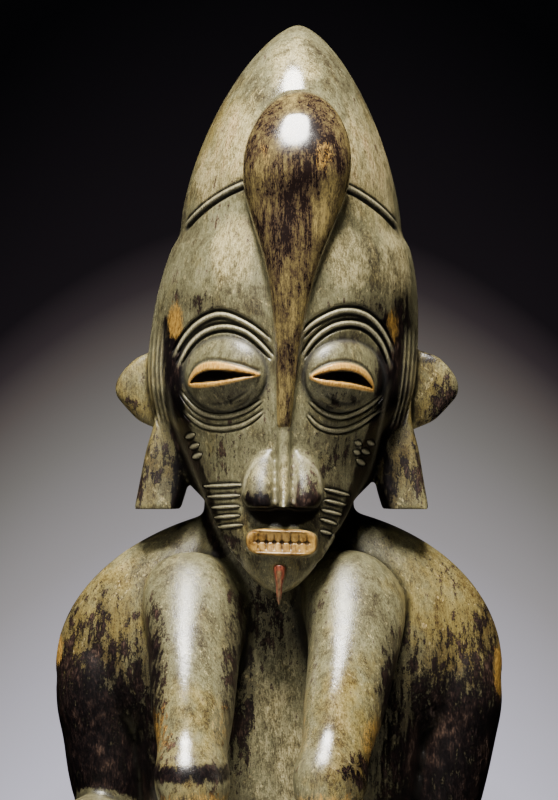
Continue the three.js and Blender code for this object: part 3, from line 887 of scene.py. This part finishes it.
def carve_face(piece):
    """Cuts the brows, eyes, teeth, cuts and cord into the head."""
    refine(piece, lambda x, y, z: (z > 434) & (z < 540) & (y < front(x, z) + 5) & (y < -4), 6)
    refine(piece, lambda x, y, z: on_mouth(x, y, z) > 0.1, 1)
    refine(piece, lambda x, y, z: (z > 545) & (np.abs(cord_off(x, y, z)[0]) < 3.6), 2)
    co = points(piece)
    x, y, z = co.T.copy()
    co[:, 1] -= on_face(x, y, z) * face_relief(x, z).raised
    co[:, 1] -= on_mouth(x, y, z) * mouth_relief(x, z)[0]
    clear = np.where(y < 0, ease((1.6 - (front(x, z) - y)) / 0.8 + 0.5), 1) * on_hood(x, z)
    co += (clear * cord_relief(x, y, z)[0])[:, None] * normals(piece)
    move(piece, co)


def thin(piece):
    """Merges the faces of the flatter parts, so that the finest carving keeps its mesh."""
    pick(piece)
    count = len(piece.data.loops) - 2 * len(piece.data.polygons)
    modify(piece, "DECIMATE", ratio=min(1.0, MOST_TRIANGLES / count))


def hollow_of(piece, co):
    """How far each point lies in a dip of the surface, from its place beside its smoothed place; the finish
    paints dark patina and shade from it.
    """
    a, b = edge_ends(piece).T
    count = np.maximum(np.bincount(a, minlength=len(co)) + np.bincount(b, minlength=len(co)), 1)
    smooth = co.copy()
    for _ in range(24):
        total = np.empty_like(smooth)
        for axis in range(3):
            total[:, axis] = np.bincount(a, smooth[b, axis], len(co))
            total[:, axis] += np.bincount(b, smooth[a, axis], len(co))
        smooth += 0.6 * (total / count[:, None] - smooth)
    return np.einsum("ij,ij->i", smooth - co, normals(piece)) / 1.2


def head_marks(x, y, z):
    """How far each point belongs to the carved and painted parts of the head."""
    relief = face_relief(x, z)
    stands = front(x, z) - y
    face = ease((2.0 - (stands - relief.raised)) / 0.8 + 0.5) * (y < -1) * (z > 428)
    clear = on_hood(x, z) * np.where(y < 0, face, 1)
    _, cord_dirt_and_shade, cord_crest = cord_relief(x, y, z)
    rims = np.min([near(x, z, path)[0] for path in NOSE_RIMS], axis=0)
    rims = ease((0.95 - rims) / 0.7) * (stands > 1.2) * (stands < 14) * (y < -30)
    s = np.clip((z - LOCK_FOOT) / (LOCK_TOP - LOCK_FOOT), 0, 1)
    beside_lock = np.abs(x - lock_middle(s)) - lock_width(s)
    in_lock = (beside_lock < 0.8) * (z > LOCK_FOOT - 0.6) * (z < LOCK_TOP + 3)
    peg_wide = mix(3.0, 1.1, np.clip((444 - z) / 15, 0, 1))
    in_peg = (z < 445) & (z > 427) & (np.abs(x) < peg_wide) & (stands > 0.9)
    worn_peg = ease((0.45 - np.abs(x / peg_wide)) / 0.25) * (z < 441.5)
    lips = on_mouth(x, y - 0.9, z)
    marks = {name: face * value for name, value in relief.marks.items()}
    marks["groove_dirt_and_shade"] = np.maximum(marks["groove_dirt_and_shade"], clear * cord_dirt_and_shade)
    marks["crest"] = np.maximum(np.maximum(marks["crest"], clear * cord_crest), 0.35 * rims)
    marks["lock"] = in_lock * ease((stands - 1.0) / 0.8)
    marks["mouth"] = lips
    marks["tooth_gaps_and_corner_shadow"] = lips * mouth_relief(x, z)[1]
    marks["peg"] = in_peg * (1 - 0.6 * worn_peg)
    return marks


# Nearer than this to the middle line of the bent forearm the stains and painted shade fade.
CLEAR_OF_FOREARM = 17.5


def stained_and_shaded(co):
    """The dark stains and painted shade, which leave the bent forearm clear."""
    x, y, z = co.T.copy()
    mark = spread(co, STAINS_AND_SHADE)
    for path, half, strength in STAIN_LINES:
        edge = strength * ease((1.5 - near(x, z, path)[0] / half) / 0.9) * (y < -1)
        mark = np.maximum(mark, edge)
    forearm = run(*forearm_path(*BELLY_ARM[:4]))(np.linspace(0, 1, 30))
    off = np.min([np.linalg.norm(co - spot, axis=1) for spot in forearm], axis=0)
    return mark * (1 - 0.9 * ease((CLEAR_OF_FOREARM - off) / 2))


def paint(piece):
    """Marks each point with what its finish depends on."""
    co = points(piece)
    marks = head_marks(*co.T.copy())
    # The stain mark holds dark stains and painted shade.
    marks["stain_and_shade"] = stained_and_shaded(co)
    # Of these, the pale mark holds paler patina with painted sheen and light.
    for name, spots in (("wear", WEAR), ("pale", PALE_AND_SHEEN), ("warm", WARM), ("polish", POLISH)):
        marks[name] = spread(co, spots)
    # Dark patina and painted shade in the hollows of the surface.
    marks["hollow"] = hollow_of(piece, co)
    for name, value in marks.items():
        mark = piece.data.attributes.new(name, "FLOAT", "POINT")
        mark.data.foreach_set("value", value.astype(np.float32))


# Where the surface is stained dark, and where shade is painted dark as noted. Each spot has a middle, half
# sizes and a strength.
STAINS_AND_SHADE = (
    # The two largest spots, over the arms: dark patina with painted shade.
    ((-68, 0, 362), (36, 60, 56), 1.0),
    ((-76, 0, 414), (6, 30, 20), 0.5),
    ((-66, 0, 422), (3, 30, 14), 0.62),
    ((68, 0, 358), (36, 60, 55), 1.0),
    ((78, 0, 414), (6, 30, 26), 0.6),
    ((70, -10, 408), (4, 30, 12), 0.5),
    ((50, -10, 402), (5, 30, 12), 0.5),
    # Painted shade with dark patina: the outer side of the left breast, towards the arm.
    ((-46, -44, 396), (6, 30, 32), 0.8),
    ((-41, -48, 374), (8, 30, 16), 0.5),
    # Painted shade: the inner side of the left breast, towards the chest.
    ((-17, -44, 392), (5, 30, 40), 0.58),
    ((-30, -60, 358), (20, 30, 9), 0.5),
    # Painted shade: the dark crease where the left breast turns under.
    ((-31, -70, 369), (30, 40, 3.4), 0.95),
    # Painted shade with dark patina: the outer side of the right breast, towards the arm.
    ((44, -44, 388), (9, 30, 28), 0.95),
    # Painted shade: the dark crease where the right breast turns under.
    ((32, -62, 369), (12, 40, 7), 0.85),
    # Painted shade: between the breasts and the chest.
    ((-13, -40, 400), (4.5, 30, 36), 0.62),
    ((11.5, -36, 404), (3, 30, 26), 0.25),
    # Painted shade with dark patina: the throat under the chin.
    ((0, -20, 424), (20, 30, 16), 0.5),
    ((-65, 4, 508), (2.6, 14, 12), 0.8),
    ((-58, 4, 500), (7, 14, 7), 0.4),
    ((63, 4, 502), (8, 14, 12), 0.55),
    ((52, 4, 520), (9, 14, 3.5), 0.6),
    ((-50, -14, 478), (11, 14, 13), 0.52),
    ((-37.5, -8, 470), (3.6, 20, 16), 1.0),
    ((49, -14, 482), (12, 14, 16), 0.5),
    ((40.5, -8, 470), (3.6, 20, 16), 1.0),
    # Painted shade with dark mottling: the lower halves of the eye domes.
    ((-19, -60, 504.5), (11, 16, 4), 0.45),
    ((25, -60, 503), (11, 16, 4), 0.55),
    # Painted shade with dark stain: the undersides of the wings of the nose.
    ((-8.5, -66, 466.5), (8, 16, 4.5), 1.0),
    ((-9, -66, 470), (6, 16, 6), 0.5),
    ((11, -66, 472), (6, 16, 6), 0.5),
    ((11.5, -66, 466), (8, 16, 4.5), 1.0),
    ((-26, -60, 482), (12, 20, 14), 0.42),
    ((25, -60, 484), (13, 20, 14), 0.62),
    ((-17, -52, 448), (6, 20, 10), 0.62),
    ((19, -52, 450), (6, 20, 10), 0.5),
    ((-30, -40, 539), (11, 20, 4), 0.42),
    ((34, -40, 537), (12, 20, 5), 0.45),
    ((-38, -36, 540), (5, 20, 8), 0.35),
    ((46, -26, 534), (6, 20, 12), 0.75),
    ((42, -24, 506), (7, 30, 28), 0.75),
    ((-28, 0, 462), (26, 30, 5), 0.35),
    ((34, 0, 461), (12, 30, 5), 0.75),
    ((66, 0, 440), (12, 30, 10), 0.3),
    ((0, -44, 200), (30, 30, 40), 0.5),
    ((0, 30, 110), (90, 90, 30), 0.6),
    ((0, 45, 430), (60, 30, 60), 0.5),
)
# Dark lines along the sides of the face: points, half width and strength.
STAIN_LINES = (
    (((-40, 532), (-39.5, 516), (-38.5, 502), (-35, 488), (-31, 476), (-27, 464), (-21.5, 449)), 3.6, 1.0),
    (((41.5, 532), (41, 514), (39.5, 500), (36.5, 489), (33, 479), (29, 466), (23.5, 452)), 4.2, 1.0),
)
# Where it is worn to bare ochre wood.
WEAR = (
    ((-38.4, -28, 533), (3.4, 20, 7), 0.85),
    ((42, -26, 531), (2.8, 20, 8), 0.65),
    ((-5.5, -70, 595), (3.0, 14, 7), 0.6),
    ((16.4, -68, 594), (4.4, 14, 8), 0.55),
    ((5.5, -72, 598), (2.6, 14, 4), 0.6),
    ((0, -70, 604), (11, 16, 10), 0.3),
    ((-3, -70, 590), (8, 16, 16), 0.25),
    ((-84, 4, 411), (3.0, 14, 7), 1.0),
    ((83, 4, 402), (3.0, 14, 10), 1.0),
    ((-42, -56, 380), (7, 20, 14), 0.62),
    ((-22, -56, 384), (5, 20, 12), 0.42),
    ((-29, -76, 357), (20, 30, 6), 0.6),
    ((16, -76, 357), (17, 30, 6), 0.62),
    ((34, -60, 380), (6, 20, 10), 0.6),
    ((8, -60, 380), (5, 20, 22), 0.45),
    ((38, -100, 168), (12, 12, 14), 0.5),
    ((-38, -100, 168), (12, 12, 14), 0.5),
    ((0, -124, 20), (80, 6, 5), 0.4),
)
# Where the patina is painted paler: paler patina, with painted sheen and light on the lit faces of the
# forehead, hood, shoulder tops, nose and breasts.
PALE_AND_SHEEN = (
    ((-17, -50, 559), (9, 24, 15), 0.8),
    ((24, -50, 556), (11, 24, 13), 0.6),
    ((-16, -45, 600), (10, 30, 19), 0.85),
    ((-26, -40, 588), (9, 30, 13), 0.9),
    ((5, -40, 628), (10, 30, 12), 0.75),
    ((30, -40, 596), (10, 30, 26), 0.7),
    ((38, -20, 588), (6, 30, 28), 0.75),
    ((44, -30, 556), (8, 30, 20), 0.7),
    ((-56, 0, 449), (20, 30, 10), 0.38),
    ((58, 0, 446), (18, 30, 10), 0.15),
    ((0, -34, 380), (14, 20, 44), 0.5),
    ((-6, -66, 478), (6, 16, 6), 0.45),
    ((10, -66, 478), (6, 16, 6), 0.4),
    ((2, -70, 478), (3, 16, 14), 0.7),
    ((-34, -60, 382), (9, 30, 16), 0.35),
    ((22, -60, 380), (10, 30, 20), 0.4),
)
# Where the surface is polished most.
POLISH = (
    ((8, -50, 624), (11, 30, 20), 0.9),
    ((-34, -60, 388), (9, 30, 32), 0.7),
    ((22, -60, 384), (11, 30, 34), 0.7),
)
# Where the wood is more yellow than green.
WARM = (
    ((-70, 0, 424), (34, 40, 26), 0.8),
    ((70, 0, 424), (34, 40, 30), 0.9),
    ((-34, -60, 372), (14, 30, 26), 0.7),
    ((24, -60, 380), (14, 30, 34), 0.8),
    ((-24, -30, 600), (16, 40, 24), 0.75),
    ((34, -30, 592), (12, 40, 22), 0.65),
    ((0, -55, 452), (22, 24, 16), 0.3),
    ((-52, 0, 490), (18, 24, 34), 0.7),
    ((52, 0, 490), (18, 24, 34), 0.7),
    ((0, 0, 200), (120, 150, 110), 0.7),
)


def spread(co, spots):
    """The strength of soft-edged spots at each point."""
    mark = np.zeros(len(co))
    for middle, half, strength in spots:
        off = np.linalg.norm((co - middle) / np.array(half, dtype=float), axis=1)
        mark = np.maximum(mark, strength * ease((1.6 - off) / 1.2))
    return mark


def add_node(tree, kind, inputs=(), **settings):
    """A new node with its settings, and its inputs linked or set."""
    node = tree.nodes.new("ShaderNode" + kind)
    for key, value in settings.items():
        setattr(node, key, value)
    for key, value in dict(inputs).items():
        if isinstance(value, bpy.types.NodeSocket):
            tree.links.new(value, node.inputs[key])
        else:
            node.inputs[key].default_value = value
    return node


def math_node(tree, operation, a, b=0.0, c=0.0, clamp=False):
    node = add_node(tree, "Math", {0: a, 1: b, 2: c}, operation=operation, use_clamp=clamp)
    return node.outputs[0]


def ramp_node(tree, value, stops):
    """A colour ramp with its stops, each a position and a colour."""
    node = add_node(tree, "ValToRGB", {"Fac": value})
    elements = node.color_ramp.elements
    while len(elements) < len(stops):
        elements.new(0.5)
    for element, (position, colour) in zip(elements, stops):
        element.position = position
        element.color = (*colour, 1)
    return node.outputs[0]


class Finish:
    """A material whose nodes are added and linked one by one."""

    def __init__(self, name):
        self.material = bpy.data.materials.new(name)
        self.material.use_nodes = True
        self.tree = self.material.node_tree
        self.shader = self.tree.nodes["Principled BSDF"]
        self.place = self.tree.nodes.new("ShaderNodeTexCoord").outputs["Object"]

    def add(self, kind, inputs=(), **settings):
        return add_node(self.tree, kind, inputs, **settings)

    def mark(self, name):
        return self.add("Attribute", attribute_name=name).outputs["Fac"]

    def noise(self, scale, detail, rough, stretch=(1, 1, 1), turn=0.0):
        turned = self.add("Mapping", {"Vector": self.place, "Rotation": (0, turn, 0)}).outputs[0]
        drawn_out = self.add("Mapping", {"Vector": turned, "Scale": stretch}).outputs[0]
        inputs = {"Vector": drawn_out, "Scale": scale, "Detail": detail, "Roughness": rough}
        return self.add("TexNoise", inputs).outputs[0]

    def math(self, operation, *values, clamp=False):
        return math_node(self.tree, operation, *values, clamp=clamp)

    def total(self, *parts):
        made = 0.0
        for value, share in parts:
            made = self.math("MULTIPLY_ADD", value, share, made)
        return made

    def span(self, value, low, high, to_low=0.0, to_high=1.0):
        made = self.add(
            "MapRange",
            {"Value": value, "From Min": low, "From Max": high, "To Min": to_low, "To Max": to_high},
            interpolation_type="SMOOTHSTEP",
        )
        return made.outputs[0]

    def ramp(self, value, *stops):
        return ramp_node(self.tree, value, stops)

    def blend(self, amount, under, over):
        node = self.add("Mix", {"Factor": amount}, data_type="RGBA")
        for key, value in (("A", under), ("B", over)):
            socket = [one for one in node.inputs if one.name == key and one.type == "RGBA"][0]
            if isinstance(value, bpy.types.NodeSocket):
                self.tree.links.new(value, socket)
            else:
                socket.default_value = (*value, 1)
        return [one for one in node.outputs if one.type == "RGBA"][0]


def patinated_wood():
    """Oiled wood, olive and mottled, near black in its stains and cuts and ochre where it is bare, with shade
    painted near black in its hollows, cuts and creases and sheen painted paler on its lit faces.
    """
    wood = Finish("patinated_wood")
    fibre = wood.noise(1700, 3, 0.6, (1, 1, 0.28))
    speck = wood.noise(2700, 2, 0.6, (1, 1, 0.6))
    mottle = wood.noise(300, 5, 0.65, (1, 1, 0.6))
    broad = wood.noise(60, 3, 0.6, (1, 1, 0.6))
    streak = wood.noise(520, 4, 0.65, (1, 1, 0.12))
    hue = wood.noise(110, 4, 0.65, (1, 1, 0.7))

    tone = wood.total((mottle, 0.3), (fibre, 0.22), (broad, 0.28), (speck, 0.2))
    green = wood.ramp(
        tone,
        (0.4, (0.04, 0.032, 0.02)),
        (0.45, (0.088, 0.075, 0.04)),
        (0.5, (0.15, 0.137, 0.07)),
        (0.54, (0.215, 0.2, 0.105)),
        (0.6, (0.35, 0.325, 0.185)),
    )
    yellow = wood.ramp(
        tone,
        (0.4, (0.04, 0.024, 0.012)),
        (0.45, (0.105, 0.072, 0.022)),
        (0.5, (0.2, 0.152, 0.046)),
        (0.54, (0.275, 0.217, 0.068)),
        (0.6, (0.42, 0.338, 0.125)),
    )
    mellow = wood.total((hue, 1.6), (speck, 0.5), (fibre, 0.5), (wood.mark("warm"), 0.7))
    colour = wood.blend(wood.span(mellow, 1.35, 2.05), green, yellow)

    # The paler colour, also used as painted sheen and light where the pale mark lies.
    pale = wood.ramp(
        wood.total((fibre, 0.4), (speck, 0.3), (mottle, 0.3)),
        (0.42, (0.15, 0.118, 0.052)),
        (0.5, (0.39, 0.325, 0.15)),
        (0.6, (0.78, 0.67, 0.36)),
    )
    rosy = wood.ramp(fibre, (0.4, (0.27, 0.175, 0.078)), (0.6, (0.76, 0.56, 0.29)))
    pale = wood.blend(wood.span(mellow, 1.65, 2.2, 0, 0.85), pale, rosy)
    paler_patina_and_sheen = wood.total((mottle, 0.6), (hue, 0.9), (broad, 0.3), (speck, 0.2), (wood.mark("pale"), 1.0))
    colour = wood.blend(wood.math("MULTIPLY", wood.span(paler_patina_and_sheen, 1.25, 1.9), 0.9), colour, pale)

    scratch = wood.noise(900, 2, 0.5, (1, 1, 0.04), 0.9)
    crossed = wood.noise(800, 2, 0.5, (1, 1, 0.04), -0.7)
    scratch = wood.span(wood.total((scratch, 0.5), (crossed, 0.5)), 0.585, 0.64, 0, 0.5)
    colour = wood.blend(scratch, colour, pale)

    # Dark stains, and painted shade in the creases, beside the breasts and under the chin.
    ragged_stain_and_shade = wood.total(
        (mottle, 2.2), (streak, 1.3), (fibre, 1.0), (broad, 1.3), (speck, 1.1), (wood.mark("stain_and_shade"), 1.0)
    )
    dark = wood.ramp(
        wood.total((mottle, 0.4), (fibre, 0.3), (broad, 0.3)),
        (0.42, (0.002, 0.0015, 0.002)),
        (0.5, (0.005, 0.003, 0.0035)),
        (0.56, (0.02, 0.011, 0.009)),
        (0.62, (0.085, 0.05, 0.034)),
    )
    colour = wood.blend(wood.span(ragged_stain_and_shade, 3.76, 4.1), colour, dark)

    worn = wood.total((mottle, 0.8), (fibre, 0.9), (speck, 0.7), (wood.mark("wear"), 1.0))
    ochre = wood.ramp(fibre, (0.35, (0.15, 0.072, 0.014)), (0.6, (0.5, 0.285, 0.058)))
    bare = wood.span(worn, 1.55, 2.05)
    colour = wood.blend(bare, colour, ochre)

    hair = wood.ramp(
        wood.total((streak, 0.3), (fibre, 0.22), (speck, 0.15), (broad, 0.4), (mottle, 0.08), (hue, 0.05)),
        (0.545, (0.012, 0.007, 0.006)),
        (0.575, (0.05, 0.031, 0.019)),
        (0.605, (0.09, 0.065, 0.028)),
        (0.64, (0.14, 0.105, 0.04)),
        (0.7, (0.29, 0.215, 0.075)),
    )
    hair = wood.blend(bare, hair, ochre)
    colour = wood.blend(wood.mark("lock"), colour, hair)

    cream = wood.ramp(fibre, (0.35, (0.3, 0.265, 0.14)), (0.6, (0.66, 0.6, 0.37)))
    black = (0.006, 0.005, 0.004)
    eye_paint = wood.ramp(fibre, (0.3, (0.52, 0.22, 0.03)), (0.6, (0.92, 0.53, 0.12)))
    lip = wood.ramp(mottle, (0.38, (0.11, 0.05, 0.01)), (0.5, (0.31, 0.17, 0.035)), (0.62, (0.5, 0.3, 0.075)))
    red = wood.ramp(fibre, (0.35, (0.06, 0.012, 0.007)), (0.6, (0.26, 0.065, 0.032)))
    hollow = wood.total((wood.mark("hollow"), 1.0), (mottle, 0.6))
    for mark, share, over in (
        (wood.mark("crest"), 0.92, cream),
        # Dark patina with painted shade: near black in the hollows of the surface.
        (wood.span(hollow, 0.4, 1.2), 0.9, black),
        # Dirt with painted shade: near black in the cuts and grooves.
        (wood.mark("groove_dirt_and_shade"), 0.95, black),
        (wood.mark("lid"), 1.0, eye_paint),
        # The eye slits, and the painted shadow under the nose, near black.
        (wood.mark("slit"), 1.0, (0.003, 0.002, 0.002)),
        (wood.mark("mouth"), 1.0, lip),
        # The gaps between the teeth, and the painted shadow at the mouth's right corner.
        (wood.mark("tooth_gaps_and_corner_shadow"), 0.9, (0.02, 0.01, 0.006)),
        (wood.mark("peg"), 1.0, red),
    ):
        colour = wood.blend(wood.math("MULTIPLY", mark, share), colour, over)
    wood.tree.links.new(colour, wood.shader.inputs["Base Color"])

    gloss = wood.total(
        (mottle, 0.2),
        (speck, 0.2),
        (wood.mark("lock"), -0.16),
        (wood.mark("polish"), -0.27),
        (wood.mark("groove_dirt_and_shade"), 0.5),
    )
    gloss = wood.math("MAXIMUM", wood.math("ADD", gloss, 0.16), 0.11)
    wood.tree.links.new(gloss, wood.shader.inputs["Roughness"])
    grain = wood.total((fibre, 0.5), (speck, 0.35), (mottle, 0.9))
    smooth = wood.total((wood.mark("lock"), -0.8), (wood.mark("polish"), -0.9))
    grain = wood.math("MULTIPLY", grain, wood.math("ADD", smooth, 1.0, clamp=True))
    bump = wood.add("Bump", {"Height": grain, "Strength": 0.45, "Distance": 0.0004})
    wood.tree.links.new(bump.outputs[0], wood.shader.inputs["Normal"])
    wood.shader.inputs["Specular IOR Level"].default_value = 0.62
    wood.shader.inputs["Coat Weight"].default_value = 0.12
    wood.shader.inputs["Coat Roughness"].default_value = 0.3
    return wood.material


def lamp(name, place, target, size, watts, colour=(1, 1, 1)):
    bpy.ops.object.light_add(type="AREA", location=place)
    light = bpy.context.object
    light.name = name
    light.data.shape = "ELLIPSE"
    light.data.size, light.data.size_y = size
    light.data.energy = watts
    light.data.color = colour
    light.visible_camera = False
    aim = np.array(target) - np.array(place)
    light.rotation_euler = (
        math.atan2(math.hypot(aim[0], aim[1]), -aim[2]),
        0,
        math.atan2(aim[1], aim[0]) - math.pi / 2,
    )
    return light


def sky():
    """A plain studio round, dark above and paler towards the floor."""
    world = bpy.data.worlds.new("studio")
    bpy.context.scene.world = world
    world.cycles_visibility.glossy = False
    world.use_nodes = True
    tree = world.node_tree
    way = add_node(tree, "TexCoord").outputs["Generated"]
    split = add_node(tree, "SeparateXYZ", {0: way}).outputs
    aside = math_node(tree, "POWER", split["X"], 2)
    arch = math_node(tree, "MULTIPLY_ADD", aside, 8, split["Z"])
    before = math_node(tree, "MINIMUM", split["Y"], 0)
    height = math_node(tree, "MULTIPLY_ADD", before, -4, arch)
    band = add_node(tree, "MapRange", {"Value": height, "From Min": -0.067, "From Max": 0.093})
    shade = ramp_node(tree, band.outputs[0], SKY)
    tree.links.new(shade, tree.nodes["Background"].inputs["Color"])


# How far up from just below the camera's level, and the light there.
SKY = (
    (0.05, (0.72, 0.70, 0.82)),
    (0.30, (0.35, 0.33, 0.34)),
    (0.44, (0.19, 0.18, 0.17)),
    (0.53, (0.10, 0.085, 0.08)),
    (0.585, (0.036, 0.028, 0.031)),
    (0.64, (0.010, 0.008, 0.010)),
    (0.97, (0.002, 0.002, 0.0025)),
)


def studio():
    lamp("key", (-0.08, -0.62, 1.9), (0, 0, 0.5), (0.66, 0.66), 96, (1, 0.965, 0.9))
    lamp("fill", (-0.8, -1.6, 1.15), (0, 0, 0.5), (1.0, 1.0), 9).visible_glossy = False
    lamp("back", (0.4, 1.8, 1.2), (0, 0, 0.4), (1.0, 1.0), 5).visible_glossy = False
    sky()
    bpy.ops.mesh.primitive_plane_add(size=6)
    floor = bpy.context.object
    floor.name = "floor"
    pale = bpy.data.materials.new("pale_floor")
    pale.use_nodes = True
    pale.node_tree.nodes["Principled BSDF"].inputs["Base Color"].default_value = (0.34, 0.34, 0.35, 1)
    floor.data.materials.append(pale)
    floor.visible_glossy = False


# How far the camera is from the face, its level and the height its picture takes in, in metres.
CAMERA_AWAY = 1.9
CAMERA_LEVEL = 503.9 * MM
PICTURE_HEIGHT = 292.0 * MM
# In millimetres.
SENSOR = 36


def camera():
    place = (0.0, -FACE_DEPTH * MM - CAMERA_AWAY, CAMERA_LEVEL)
    bpy.ops.object.camera_add(location=place, rotation=(math.pi / 2, 0, 0))
    eye = bpy.context.object
    eye.data.sensor_fit = "VERTICAL"
    eye.data.sensor_height = SENSOR
    eye.data.lens = SENSOR * CAMERA_AWAY / PICTURE_HEIGHT
    bpy.context.scene.camera = eye


camera()
body = carve_body()
carved_head = carve_head()
carve_face(carved_head)
thin(body)
thin(carved_head)
finish = patinated_wood()
for piece in (body, carved_head):
    paint(piece)
    piece.data.materials.clear()
    piece.data.materials.append(finish)
    pick(piece)
    bpy.ops.object.shade_smooth()
    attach(piece, "root")
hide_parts("seated_figure")
studio()
